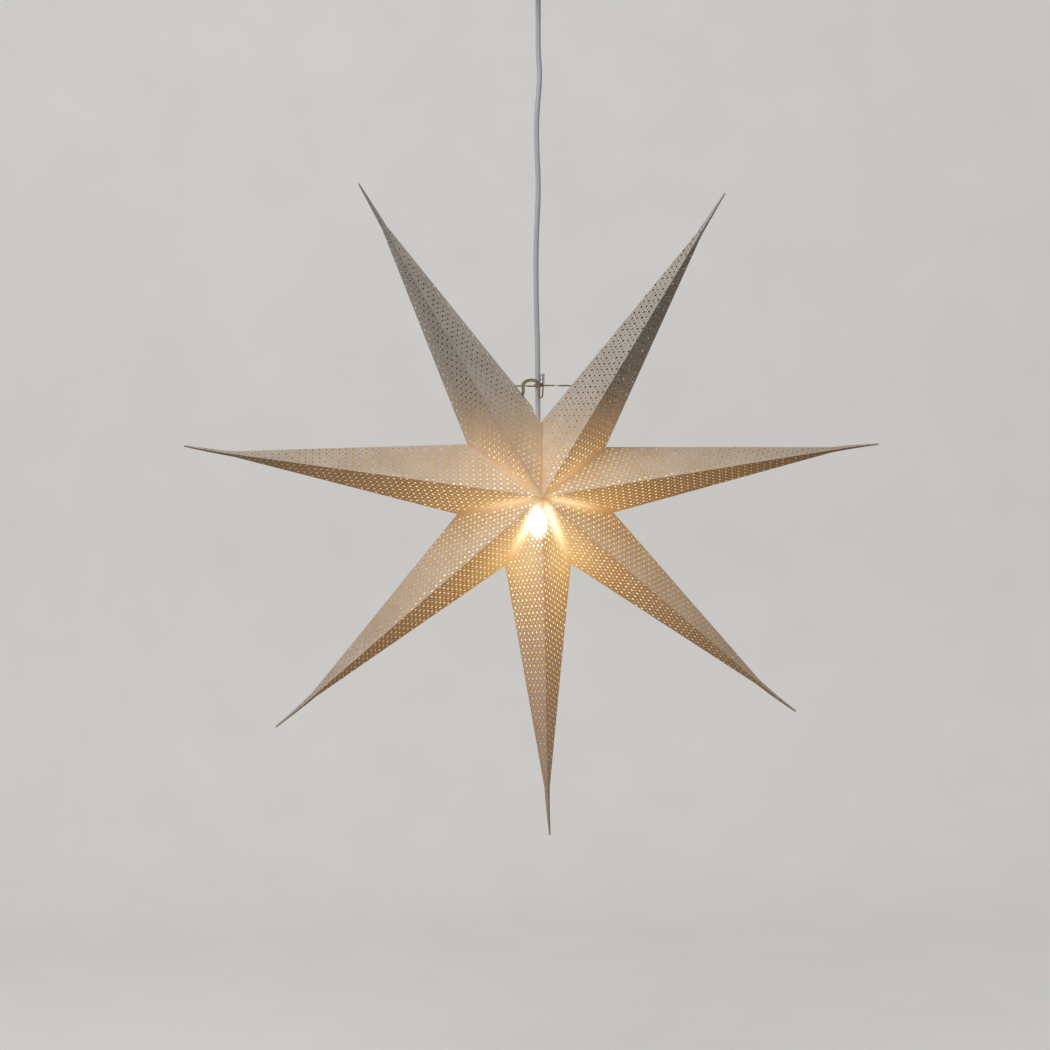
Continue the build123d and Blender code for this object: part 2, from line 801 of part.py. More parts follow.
with BuildPart() as ceiling_leads:
    for side in (1, -1):
        with BuildLine() as lead:
            FilletPolyline(
                (core_x, side * core_y, barrel_top),
                (core_x, side * core_y, barrel_top + core_rise),
                (core_x + core_step, side * core_side, barrel_top + 2 * core_rise),
                (block_x - block_bolt_x, side * core_side, block_foot - 2 * core_rise),
                (block_x - block_bolt_x, side * block_pole, block_foot - core_rise),
                (block_x - block_bolt_x, side * block_pole, block_foot),
                radius=lead_bend,
            )
        with BuildSketch(Plane(origin=lead.line @ 0, z_dir=lead.line % 0)):
            Circle(lead_radius)
        sweep(path=lead.line)
ceiling_leads.part.label = "ceiling_leads"
export_step(ceiling_leads.part, "parts/ceiling_leads.step")

# Ceiling cup, a moulded cover that slides on the cord
collar_foot = cup_bottom - collar_length
with BuildPart() as ceiling_cup:
    with BuildSketch(Plane.XY.offset(cup_top)):
        Circle(cup_radius)
    extrude(amount=cup_bottom - cup_top)
    fillet(ceiling_cup.edges().group_by(Axis.Z)[0], cup_bend)
    offset(amount=-cup_wall, openings=ceiling_cup.faces().sort_by(Axis.Z)[-1])
    with BuildSketch(Plane.XY.offset(cup_bottom + cup_wall)):
        Circle(collar_radius)
    extrude(amount=-(collar_length + cup_wall))
    fillet(ceiling_cup.edges().group_by(Axis.Z)[0], collar_edge)
    with BuildSketch(Plane.XY.offset(collar_foot)):
        Circle(grommet_radius + cord_play)
    extrude(amount=collar_length + cup_wall, mode=Mode.SUBTRACT)
    with BuildSketch(Plane.XZ.offset(-grommet_radius)):
        with Locations((0, cup_bottom - collar_length / 2)):
            Circle(set_screw_radius + screw_play)
    extrude(amount=-collar_radius, mode=Mode.SUBTRACT)
ceiling_cup.part.label = "ceiling_cup"
export_step(ceiling_cup.part, "parts/ceiling_cup.step")

# Rubber bush in the collar, and the thumb screw that squeezes it on the cord
with BuildPart() as cup_grommet:
    with BuildSketch(Plane.XY.offset(collar_foot)):
        Circle(grommet_radius)
    extrude(amount=collar_length + cup_wall)
    with BuildSketch(Plane.XY.offset(cup_bottom + cup_wall)):
        Circle(collar_radius)
    extrude(amount=grommet_rim)
    with BuildSketch(Plane.XY.offset(collar_foot)):
        Circle(cord_radius + cord_play)
    extrude(amount=collar_length + cup_wall + grommet_rim, mode=Mode.SUBTRACT)
cup_grommet.part.label = "cup_grommet"
export_step(cup_grommet.part, "parts/cup_grommet.step")

with BuildPart() as cup_screw:
    with BuildSketch(Plane.XZ.offset(-grommet_radius - cord_play)):
        with Locations((0, cup_bottom - collar_length / 2)):
            Circle(set_screw_radius)
    extrude(amount=-(collar_radius - grommet_radius))
    with BuildSketch(Plane.XZ.offset(-collar_radius - cord_play)):
        with Locations((0, cup_bottom - collar_length / 2)):
            Circle(set_screw_head)
    extrude(amount=-set_screw_head_length)
cup_screw.part.label = "cup_screw"
export_step(cup_screw.part, "parts/cup_screw.step")
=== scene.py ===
"""Dresses the paper star lantern: a folded, perforated paper star round a lamp on a white cord."""
import math

import bmesh
import bpy
import numpy as np
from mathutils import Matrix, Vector


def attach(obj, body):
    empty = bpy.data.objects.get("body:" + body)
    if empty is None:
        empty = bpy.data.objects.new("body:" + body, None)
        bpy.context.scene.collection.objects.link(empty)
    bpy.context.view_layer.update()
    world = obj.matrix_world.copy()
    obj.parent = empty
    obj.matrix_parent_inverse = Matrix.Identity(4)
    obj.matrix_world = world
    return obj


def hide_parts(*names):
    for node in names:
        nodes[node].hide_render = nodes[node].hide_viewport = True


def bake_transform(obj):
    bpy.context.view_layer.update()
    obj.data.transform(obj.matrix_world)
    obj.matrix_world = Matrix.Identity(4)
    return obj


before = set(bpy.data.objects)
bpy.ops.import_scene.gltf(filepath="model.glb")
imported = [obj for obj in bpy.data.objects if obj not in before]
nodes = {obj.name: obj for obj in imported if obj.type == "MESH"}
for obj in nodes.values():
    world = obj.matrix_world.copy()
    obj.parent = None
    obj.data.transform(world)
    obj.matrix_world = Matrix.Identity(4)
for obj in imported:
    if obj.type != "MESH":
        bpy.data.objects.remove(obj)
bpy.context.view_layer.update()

# The view
# The star hangs with its front apex turned a little to the camera's right and seen from just
# above. A long lens some two and a half metres away keeps the seven points evenly drawn.
star_centre = Vector((0.0, 0.0, -0.620))
camera_distance = 2.60
camera_azimuth = math.radians(-3.8)
camera_elevation = math.radians(2.9)
camera_lens = 79.5
aim = star_centre + Vector((-0.0146, 0.0, -0.0337))
camera_data = bpy.data.cameras.new("camera")
camera_data.lens = camera_lens
camera_data.sensor_width = 36.0
camera = bpy.data.objects.new("camera", camera_data)
bpy.context.scene.collection.objects.link(camera)
towards_camera = Vector((
    math.sin(camera_azimuth) * math.cos(camera_elevation),
    -math.cos(camera_azimuth) * math.cos(camera_elevation),
    math.sin(camera_elevation),
))
camera.location = aim + towards_camera * camera_distance
camera.rotation_euler = towards_camera.to_track_quat("Z", "Y").to_euler()
bpy.context.scene.camera = camera

# Mains cord
# A round white lamp cord with a soft PVC sheath, hung from the grip in the ceiling cup. It was
# coiled in its box, so it still wavers a little from side to side before it runs down straight.
cord_diameter = 0.0057
cord_route = [
    (0.0, 0.0, -0.033),
    (0.0, 0.0, -0.105),
    (0.0, 0.0, -0.128),
    (0.0022, 0.0, -0.155),
    (-0.0019, 0.0, -0.200),
    (-0.0016, 0.0, -0.232),
    (0.0008, 0.0, -0.280),
    (-0.0023, 0.0, -0.335),
    (-0.0022, 0.0, -0.400),
    (0.0, 0.0, -0.470),
    (0.0, 0.0, -0.57585),
]
cord_sides = 28
cord_steps = 20


def spline_points(route, steps):
    """Places along a smooth NURBS line through the neighbourhood of the route's points."""
    data = bpy.data.curves.new("line", "CURVE")
    data.dimensions = "3D"
    data.resolution_u = steps
    spline = data.splines.new("NURBS")
    spline.points.add(len(route) - 1)
    for point, place in zip(spline.points, route):
        point.co = (*place, 1.0)
    spline.order_u = 3
    spline.use_endpoint_u = True
    holder = bpy.data.objects.new("line", data)
    bpy.context.scene.collection.objects.link(holder)
    mesh = bpy.data.meshes.new_from_object(holder)
    places = [vertex.co.copy() for vertex in mesh.vertices]
    bpy.data.objects.remove(holder)
    bpy.data.meshes.remove(mesh)
    return places


def finished_mesh(bm, name):
    """A mesh of what the bmesh holds, which is freed."""
    mesh = bpy.data.meshes.new(name)
    bm.to_mesh(mesh)
    bm.free()
    return mesh


def join_rings(bm, rings):
    """Smooth faces from each ring of vertices to the next."""
    for low, high in zip(rings, rings[1:]):
        for k in range(len(low)):
            after = (k + 1) % len(low)
            bm.faces.new((low[k], low[after], high[after], high[k])).smooth = True


def tube_mesh(name, places, radius, sides):
    """A tube round a line of places, closed by a flat face at each end."""
    bm = bmesh.new()
    rings = []
    side_axis = None
    for i, place in enumerate(places):
        direction = (places[min(i + 1, len(places) - 1)] - places[max(i - 1, 0)]).normalized()
        if side_axis is None:
            side_axis = direction.orthogonal().normalized()
        side_axis = (side_axis - direction * side_axis.dot(direction)).normalized()
        other_axis = direction.cross(side_axis)
        ring = []
        for k in range(sides):
            angle = 2 * math.pi * k / sides
            offset = side_axis * math.cos(angle) + other_axis * math.sin(angle)
            ring.append(bm.verts.new(place + offset * radius))
        rings.append(ring)
    bm.faces.new(reversed(rings[0]))
    bm.faces.new(rings[-1])
    join_rings(bm, rings)
    return finished_mesh(bm, name)


def add_piece(name, mesh, material):
    """Puts a finished mesh in the scene as one piece of one material."""
    piece = bpy.data.objects.new(name, mesh)
    bpy.context.scene.collection.objects.link(piece)
    mesh.materials.append(material)
    return piece


def colour(code):
    """An sRGB hex colour as linear red, green, blue and alpha."""
    parts = [int(code[i:i + 2], 16) / 255 for i in (1, 3, 5)]
    linear = [c / 12.92 if c <= 0.04045 else ((c + 0.055) / 1.055) ** 2.4 for c in parts]
    return (*linear, 1.0)


def add_node(tree, kind, values=None, **settings):
    """Adds a node. Settings are its properties. A value that is a socket is linked to its input."""
    node = tree.nodes.new(kind)
    for key, value in settings.items():
        setattr(node, key, value)
    for key, value in (values or {}).items():
        if isinstance(value, bpy.types.NodeSocket):
            tree.links.new(value, node.inputs[key])
        else:
            node.inputs[key].default_value = value
    return node


def new_material(name):
    """An empty material with its output: the material, its tree and the output's surface input."""
    material = bpy.data.materials.new(name)
    material.use_nodes = True
    tree = material.node_tree
    tree.nodes.clear()
    output = add_node(tree, "ShaderNodeOutputMaterial")
    return material, tree, output.inputs["Surface"]


def mottled(tree, low, high, scale):
    """A colour that wanders between two sRGB colours, with scale patches to a metre."""
    place = add_node(tree, "ShaderNodeTexCoord")
    noise = add_node(tree, "ShaderNodeTexNoise", {
        "Vector": place.outputs["Object"], "Scale": scale, "Detail": 3.0,
    })
    blend = add_node(tree, "ShaderNodeMix", {
        0: noise.outputs["Fac"], 6: colour(low), 7: colour(high),
    }, data_type="RGBA")
    return blend.outputs[2]


def finish(name, tints, patches, marks, gloss, relief, face):
    """A material with two tints in patches, and fine marks in its gloss and its height.

    Marks are the noise's settings, gloss the roughness from low to high, relief the bump's
    strength and depth in metres or None, and face the settings of the surface itself.
    """
    material, tree, surface = new_material(name)
    place = add_node(tree, "ShaderNodeTexCoord")
    noise = add_node(tree, "ShaderNodeTexNoise", {"Vector": place.outputs["Object"], **marks})
    roughness = add_node(tree, "ShaderNodeMapRange", {
        "Value": noise.outputs["Fac"], "To Min": gloss[0], "To Max": gloss[1],
    })
    shader = add_node(tree, "ShaderNodeBsdfPrincipled", {
        "Base Color": mottled(tree, *tints, patches), "Roughness": roughness.outputs["Result"], **face,
    })
    if relief is not None:
        bump = add_node(tree, "ShaderNodeBump", {
            "Height": noise.outputs["Fac"], "Strength": relief[0], "Distance": relief[1],
        })
        tree.links.new(bump.outputs["Normal"], shader.inputs["Normal"])
    tree.links.new(shader.outputs["BSDF"], surface)
    return material


# Soft PVC: extruded and slightly glossy, with faint scuffs and a cool white.
pvc = finish(
    "white_pvc_sheath", ("#cdd2da", "#e0e4ea"), 55.0, {"Scale": 900.0, "Detail": 4.0},
    (0.34, 0.52), (0.12, 0.0002), {"IOR": 1.54},
)

cord_line = spline_points(cord_route, cord_steps)
cord_mesh = tube_mesh("mains_cord", cord_line, cord_diameter / 2, cord_sides)
mains_cord = add_piece("mains_cord", cord_mesh, pvc)
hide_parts("cord_upper", "cord_lower")
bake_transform(mains_cord)

# Star points
# Each point is one sheet of stiff paper, punched all over with a square grid of holes and a pin
# hole between every four, then folded along two ridges and two edges and glued to its
# neighbours by flanges. The last few centimetres are pressed into a thin blade that curls.
hub_half_depth = 0.067
blade_length = 0.055
neck_half_width = 0.0031
tip_half_width = 0.0009
tip_half_depth = 0.0012
flange_width = 0.012
sheet = 0.0004
seam_gap = 0.00005
open_seam_gap = 0.0001
open_seam = 1
hole_pitch = 0.0074
hole_radius = 0.00145
pin_radius = 0.00088
fold_margin = 0.0002
seam_margin = 0.0042
grid_rows = 117
cord_hole = 0.0055
# Points along each stretch of a wall's outline, and rounds of the search for a spot on the fold
ridge_steps = 28
blade_steps = 9
edge_steps = 24
arc_steps = 15
arc_samples = 2000
seam_steps = 10
fold_rounds = 12
# Points closer than this are welded, and edges shorter than this are dissolved
weld_distance = 4e-6
least_edge = 1e-6
# Name, direction in degrees, reach, turn of the grid, and the blade's curl sideways and up
star_points = [
    ("point_right", 8.6, 0.3905, 13.0, (0.0, -0.0018)),
    ("point_upper_right", 58.2, 0.3972, 14.0, (0.0006, 0.0002)),
    ("point_upper_left", 119.9, 0.3983, 45.0, (-0.0008, 0.0004)),
    ("point_left", 172.2, 0.3972, 12.0, (-0.0002, 0.0016)),
    ("point_lower_left", 221.6, 0.3905, 15.0, (-0.0020, 0.0004)),
    ("point_bottom", 271.8, 0.3848, 14.0, (0.0016, 0.0)),
    ("point_lower_right", 319.6, 0.3826, 16.0, (0.0020, 0.0016)),
]
# Direction and reach of the notch after each point
notches = [
    (35.2, 0.0931),
    (86.2, 0.0842),
    (144.3, 0.0976),
    (193.2, 0.0931),
    (245.1, 0.0875),
    (295.6, 0.0858),
    (346.7, 0.0875),
]
# Room round the cord and the lamp: height above the star's centre, and distance from the axis
room_heights = (-0.0751, -0.075, 0.048, 0.062, 0.123, 0.1231)
room_radii = (0.0, 0.020, 0.020, cord_hole, cord_hole, 0.0)
centre = np.array(star_centre)


def radial(angle):
    """Unit vector in the star's plane, anticlockwise from +X as the viewer sees it."""
    return np.array((math.cos(math.radians(angle)), 0.0, math.sin(math.radians(angle))))


class Wall:
    """One of a point's four walls, between a ridge and an edge fold."""

    def __init__(self, direction, reach, notch, gap, side, face, curl, holed):
        self.reach = reach
        self.side = side
        self.face = face
        self.along = radial(direction)
        self.across = radial(direction + 90) * side
        self.seam_angle, self.seam_reach = notch
        self.seam_normal = radial(self.seam_angle + 90) * -side
        self.gap = gap
        self.curl = curl
        self.holed = holed
        self.neck = reach - blade_length
        lean = math.radians(self.seam_angle - direction)
        self.notch_along = self.seam_reach * math.cos(lean)
        self.notch_across = self.seam_reach * abs(math.sin(lean))
        rise = self.notch_across - neck_half_width
        self.slope = rise / (self.neck - self.notch_along)
        self.stretch = math.hypot(1.0, hub_half_depth / reach)

    def half_width(self, u):
        """Half width of the point at a distance from the centre."""
        share = (u - self.neck) / blade_length
        blade = neck_half_width + (tip_half_width - neck_half_width) * share
        return np.where(u < self.neck, neck_half_width + self.slope * (self.neck - u), blade)

    def half_depth(self, u):
        """Half depth of the point at a distance from the centre."""
        neck_depth = hub_half_depth * blade_length / self.reach
        share = (u - self.neck) / blade_length
        blade = neck_depth + (tip_half_depth - neck_depth) * share
        return np.where(u < self.neck, hub_half_depth * (1 - u / self.reach), blade)

    def ruling(self, u):
        """Length of the line from ridge to edge, and how it leans and rises on the sheet."""
        width, depth = self.half_width(u), self.half_depth(u)
        length = np.hypot(width, depth)
        lean = depth * hub_half_depth / (self.reach * self.stretch * length)
        return length, lean, np.sqrt(1 - lean ** 2)

    def flat(self, u, t):
        """Place on the unfolded sheet, with t running from the ridge to the edge fold."""
        length, lean, rise = self.ruling(u)
        return self.stretch * u + t * length * lean, t * length * rise * self.side * self.face

    def places(self, u, t):
        """Place in the round, kept clear of the seam's middle plane."""
        bend = np.clip((u - self.neck) / blade_length, 0.0, 1.0) ** 2
        spots = centre + u[:, None] * self.along
        spots = spots + (self.half_width(u) * t)[:, None] * self.across
        spots[:, 1] -= self.half_depth(u) * (1 - t) * self.face
        spots[:, 0] += bend * self.curl[0]
        spots[:, 2] += bend * self.curl[1]
        clear = (spots - centre) @ self.seam_normal
        return spots + np.maximum(self.gap - clear, 0.0)[:, None] * self.seam_normal

    def folded(self, x, y):
        """Place in the round of a spot on the unfolded sheet."""
        u = x / self.stretch
        for _ in range(fold_rounds):
            length, lean, rise = self.ruling(u)
            t = np.abs(y) / (length * rise)
            u = np.clip((x - t * length * lean) / self.stretch, 0.0, self.reach)
        return self.places(u, np.clip(t, 0.0, 1.0))

    def cord_arc(self):
        """Where the cord's hole meets this wall: distances from the centre and t."""
        u = np.linspace(self.notch_along - 0.01, self.neck, arc_samples)
        found = []
        for turn in np.linspace(math.pi, 0.0, arc_steps):
            t = 1 - cord_hole * math.sin(turn) / self.half_depth(u)
            x = u * self.along[0] + self.half_width(u) * t * self.across[0]
            spot = np.interp(cord_hole * math.cos(turn), x[::-1], u[::-1])
            found.append((spot, 1 - cord_hole * math.sin(turn) / self.half_depth(spot)))
        return np.array(found).T

    def seam_line(self):
        """The seam from the notch to the hub: distances from the centre and t."""
        seam = np.linspace(self.notch_along, 0.0, seam_steps + 2)
        return seam, seam * (self.notch_across / self.notch_along) / self.half_width(seam)

    def outline(self):
        """The wall's outline, from the hub along the ridge, the edge fold and the seam."""
        body = np.linspace(0.0, self.neck, ridge_steps)
        blade = np.linspace(self.neck, self.reach, blade_steps)
        ridge = np.concatenate((body, blade[1:]))
        edge = np.linspace(self.neck, self.notch_along, edge_steps)
        edge_t = np.ones(edge_steps)
        if self.holed:
            arc, arc_t = self.cord_arc()
            outer = edge[edge > arc[0] + 0.001]
            last = [self.notch_along] if arc[-1] > self.notch_along + 1e-6 else []
            edge = np.concatenate((outer, arc, last))
            edge_t = np.concatenate((np.ones(len(outer)), arc_t, np.ones(len(last))))
        seam, seam_t = self.seam_line()
        u = np.concatenate((ridge, blade[:0:-1], edge, seam[1:-1]))
        t = np.concatenate((np.zeros(len(ridge)), np.ones(len(blade) - 1), edge_t, seam_t[1:-1]))
        return u, t

    def flange(self):
        """Outer and inner edges of this wall's share of the glue flange."""
        seam, seam_t = self.seam_line()
        outer = self.places(seam, seam_t)
        slant = math.hypot(self.seam_reach, hub_half_depth)
        share = seam / self.notch_along
        reach = (self.seam_reach - flange_width * slant / hub_half_depth) * share
        depth = (hub_half_depth - flange_width * slant / self.seam_reach) * (1 - share)
        inner = centre + reach[:, None] * radial(self.seam_angle)
        room = np.interp(inner[:, 2] - star_centre[2], room_heights, room_radii)
        clear = np.sqrt(np.maximum(room ** 2 - inner[:, 0] ** 2, 0.0))
        depth = np.maximum(depth, clear)
        inner[:, 1] -= np.minimum(depth, np.abs(outer[:, 1]) + 1e-9) * self.face
        return outer, inner + self.seam_normal * self.gap


def geometry_tree(name, sizes, counts=()):
    """A Geometry Nodes tree with named inputs for its sizes and counts: the tree and its inputs."""
    tree = bpy.data.node_groups.new(name, "GeometryNodeTree")
    sockets = tree.interface
    for way in ("INPUT", "OUTPUT"):
        sockets.new_socket("Geometry", in_out=way, socket_type="NodeSocketGeometry")
    for names, kind in ((sizes, "NodeSocketFloat"), (counts, "NodeSocketInt")):
        for name in names:
            sockets.new_socket(name, in_out="INPUT", socket_type=kind)
    return tree, add_node(tree, "NodeGroupInput").outputs


def end_tree(tree, geometry, material):
    """Ends a Geometry Nodes tree in plain geometry of one material."""
    real = add_node(tree, "GeometryNodeRealizeInstances", {"Geometry": geometry})
    painted = add_node(tree, "GeometryNodeSetMaterial", {
        "Geometry": real.outputs[0], "Material": material,
    })
    output = add_node(tree, "NodeGroupOutput")
    tree.links.new(painted.outputs[0], output.inputs[0])
    return tree


def perforated_sheet(material):
    """Geometry Nodes that punch a flat outline with a square grid of holes and pin holes."""
    tree, given = geometry_tree("perforated_sheet", (
        "Pitch", "Grid Turn", "Hole Radius", "Pin Radius", "Fold Margin", "Seam Margin",
    ), ("Rows",))
    rim = add_node(tree, "GeometryNodeMeshToCurve", {"Mesh": given["Geometry"]})
    steps = add_node(tree, "ShaderNodeMath", {0: given["Rows"], 1: 1.0}, operation="SUBTRACT")
    size = add_node(tree, "ShaderNodeMath", {
        0: steps.outputs[0], 1: given["Pitch"],
    }, operation="MULTIPLY")
    grid = add_node(tree, "GeometryNodeMeshGrid", {
        "Size X": size.outputs[0], "Size Y": size.outputs[0],
        "Vertices X": given["Rows"], "Vertices Y": given["Rows"],
    })
    half = add_node(tree, "ShaderNodeMath", {0: given["Pitch"], 1: 0.5}, operation="MULTIPLY")
    step = add_node(tree, "ShaderNodeCombineXYZ", {"X": half.outputs[0], "Y": half.outputs[0]})
    turn = add_node(tree, "ShaderNodeCombineXYZ", {"Z": given["Grid Turn"]})
    between = add_node(tree, "GeometryNodeTransform", {
        "Geometry": grid.outputs["Mesh"], "Translation": step.outputs[0],
    })
    place = add_node(tree, "GeometryNodeInputPosition")
    above = add_node(tree, "ShaderNodeVectorMath", {
        0: place.outputs[0], 1: (0.0, 0.0, 0.1),
    }, operation="ADD")
    over = add_node(tree, "GeometryNodeRaycast", {
        "Target Geometry": given["Geometry"], "Source Position": above.outputs[0],
        "Ray Direction": (0.0, 0.0, -1.0), "Ray Length": 1.0,
    })
    near = add_node(tree, "GeometryNodeProximity", {0: given["Geometry"]}, target_element="EDGES")
    glued = add_node(tree, "GeometryNodeInputNamedAttribute", {"Name": "seam"}, data_type="BOOLEAN")
    seam = add_node(tree, "GeometryNodeSeparateGeometry", {
        "Geometry": given["Geometry"], "Selection": glued.outputs["Attribute"],
    }, domain="EDGE")
    near_seam = add_node(tree, "GeometryNodeProximity", {
        0: seam.outputs["Selection"],
    }, target_element="EDGES")
    off_seam = add_node(tree, "ShaderNodeMath", {
        0: near_seam.outputs["Distance"], 1: given["Seam Margin"],
    }, operation="GREATER_THAN")
    rings = [rim.outputs["Curve"]]
    for lattice, radius, corners in (
        (grid.outputs["Mesh"], given["Hole Radius"], 8),
        (between.outputs["Geometry"], given["Pin Radius"], 6),
    ):
        turned = add_node(tree, "GeometryNodeTransform", {
            "Geometry": lattice, "Rotation": turn.outputs[0],
        })
        room = add_node(tree, "ShaderNodeMath", {
            0: radius, 1: given["Fold Margin"],
        }, operation="ADD")
        clear = add_node(tree, "ShaderNodeMath", {
            0: near.outputs["Distance"], 1: room.outputs[0],
        }, operation="GREATER_THAN")
        chosen = over.outputs["Is Hit"]
        for rule in (clear, off_seam):
            chosen = add_node(tree, "FunctionNodeBooleanMath", {
                0: chosen, 1: rule.outputs[0],
            }, operation="AND").outputs[0]
        ring = add_node(tree, "GeometryNodeCurvePrimitiveCircle", {
            "Resolution": corners, "Radius": radius,
        })
        spread = add_node(tree, "GeometryNodeInstanceOnPoints", {
            "Points": turned.outputs["Geometry"], "Selection": chosen,
            "Instance": ring.outputs["Curve"],
        })
        rings.append(spread.outputs["Instances"])
    joined = add_node(tree, "GeometryNodeJoinGeometry")
    for outline in rings:
        tree.links.new(outline, joined.inputs[0])
    real = add_node(tree, "GeometryNodeRealizeInstances", {"Geometry": joined.outputs[0]})
    filled = add_node(tree, "GeometryNodeFillCurve", {"Curve": real.outputs[0]})
    return end_tree(tree, filled.outputs[0], material)


def run_tree(tree, mesh, inputs):
    """A plain mesh of what a Geometry Nodes tree makes from a mesh and the inputs it is given."""
    holder = bpy.data.objects.new("holder", mesh)
    bpy.context.scene.collection.objects.link(holder)
    modifier = holder.modifiers.new("shape", "NODES")
    modifier.node_group = tree
    for item in tree.interface.items_tree:
        if item.name in inputs:
            modifier[item.identifier] = inputs[item.name]
    evaluated = holder.evaluated_get(bpy.context.evaluated_depsgraph_get())
    result = bpy.data.meshes.new_from_object(evaluated)
    holder.modifiers.clear()
    bpy.data.objects.remove(holder)
    bpy.data.meshes.remove(mesh)
    return result


# Perforated paper: uncoated, matt and slightly mottled. A little light passes through it, and the
# bulb's glow on it is painted as emission, gold far from the bulb and cream close to it, and less
# above the bulb as the lampholder's painted shade. Inside, the same paper is given a darker colour
# as painted shade, with painted lamplight near the bulb, so the holes near the bulb look brighter
# than the sheet and the holes far from it look like dark dots.
bulb_top = -0.014
bulb_bottom = -0.050
# How far the painted light reaches, and the brightest painted glow outside and inside
reach_of_light = 0.0245
brightest_glow = 0.45
inside_gain = 6.0
brightest_inside = 1.15
# Wall normals, by how far they point up, between which the painted light on the wall changes
turned_up = 0.6
turned_down = -0.5
# The seams next to the bulb, by their place in notches, and how bright the glow painted on their glued
# bands is
seam_glows = ((4, 1.0), (5, 1.0), (6, 0.55), (3, 0.38), (0, 0.10), (2, 0.10))
seam_glow_width = 0.0095
seam_glow_start = (0.002, 0.014)
seam_fade_start = 0.03
brightest_band = 0.72
# The bulb's own spot of light, painted on the paper: where its middle is, its half sizes across
# and up, and where it is gone and where it is whole, in half sizes
spot_x = -0.0034
spot_z = -0.0285
spot_half_width = 0.0075
spot_half_height = 0.0115
spot_gone = 2.0
spot_whole = 0.8


def product(tree, first, *factors):
    """The first value multiplied by each of the others in turn."""
    for factor in factors:
        first = add_node(tree, "ShaderNodeMath", {0: first, 1: factor}, operation="MULTIPLY").outputs[0]
    return first


def lamp_light(tree, shade_start, shade_end, in_shade, facing_up, facing_down):
    """Painted light at the paper: less with distance, in painted shade above the lampholder, and by how
    the wall is turned.
    """
    place = add_node(tree, "ShaderNodeTexCoord")
    apart = add_node(tree, "ShaderNodeVectorMath", {
        0: place.outputs["Object"], 1: tuple(star_centre),
    }, operation="SUBTRACT")
    parts = add_node(tree, "ShaderNodeSeparateXYZ", {0: apart.outputs[0]})
    nearest = add_node(tree, "ShaderNodeClamp", {
        "Value": parts.outputs["Z"], "Min": bulb_bottom, "Max": bulb_top,
    })
    middle = add_node(tree, "ShaderNodeCombineXYZ", {"Z": nearest.outputs[0]})
    distance = add_node(tree, "ShaderNodeVectorMath", {
        0: apart.outputs[0], 1: middle.outputs[0],
    }, operation="DISTANCE")
    light = add_node(tree, "ShaderNodeMath", {
        0: reach_of_light, 1: distance.outputs["Value"],
    }, operation="DIVIDE")
    shadow = add_node(tree, "ShaderNodeMapRange", {
        "Value": parts.outputs["Z"], "From Min": shade_start, "From Max": shade_end,
        "To Min": 1.0, "To Max": in_shade,
    })
    geometry = add_node(tree, "ShaderNodeNewGeometry")
    facing = add_node(tree, "ShaderNodeSeparateXYZ", {0: geometry.outputs["Normal"]})
    turned = add_node(tree, "ShaderNodeMapRange", {
        "Value": facing.outputs["Z"], "From Min": turned_up, "From Max": turned_down,
        "To Min": facing_up, "To Max": facing_down,
    })
    reached = product(tree, light.outputs[0], shadow.outputs["Result"], turned.outputs["Result"])
    return place, apart, reached


def fibrous(tree, place, low, high):
    """Two sRGB colours mixed by paper fibres, and the fibres' own bump."""
    fibres = add_node(tree, "ShaderNodeTexNoise", {
        "Vector": place.outputs["Object"], "Scale": 700.0, "Detail": 5.0,
    })
    patches = add_node(tree, "ShaderNodeTexNoise", {
        "Vector": place.outputs["Object"], "Scale": 30.0, "Detail": 3.0,
    })
    speckle = product(tree, fibres.outputs["Fac"], patches.outputs["Fac"])
    tone = add_node(tree, "ShaderNodeMapRange", {
        "Value": speckle, "From Min": 0.15, "From Max": 0.36,
    })
    blend = add_node(tree, "ShaderNodeMix", {
        0: tone.outputs["Result"], 6: colour(low), 7: colour(high),
    }, data_type="RGBA")
    bump = add_node(tree, "ShaderNodeBump", {
        "Height": fibres.outputs["Fac"], "Strength": 0.2, "Distance": 0.0002,
    })
    return blend.outputs[2], bump.outputs["Normal"]


# Outside: the emission is the bulb's painted glow, with its spot and the glued seam bands painted
# brighter
paper, tree, surface = new_material("perforated_paper")
place, apart, light = lamp_light(
    tree, shade_start=0.03, shade_end=0.14, in_shade=0.12, facing_up=0.45, facing_down=1.0)
paper_colour, paper_bump = fibrous(tree, place, "#cbc1b4", "#dcd4c9")
held = add_node(tree, "ShaderNodeMath", {0: light, 1: brightest_glow}, operation="MINIMUM")
# The bulb's spot of light, painted on the sheet
squeezed = add_node(tree, "ShaderNodeVectorMath", {
    0: apart.outputs[0], 1: (1 / spot_half_width, 0.0, 1 / spot_half_height),
}, operation="MULTIPLY")
around = add_node(tree, "ShaderNodeVectorMath", {
    0: squeezed.outputs[0], 1: (spot_x / spot_half_width, 0.0, spot_z / spot_half_height),
}, operation="DISTANCE")
spot = add_node(tree, "ShaderNodeMapRange", {
    "Value": around.outputs["Value"], "From Min": spot_gone, "From Max": spot_whole,
}, interpolation_type="SMOOTHSTEP")
bands = spot.outputs["Result"]
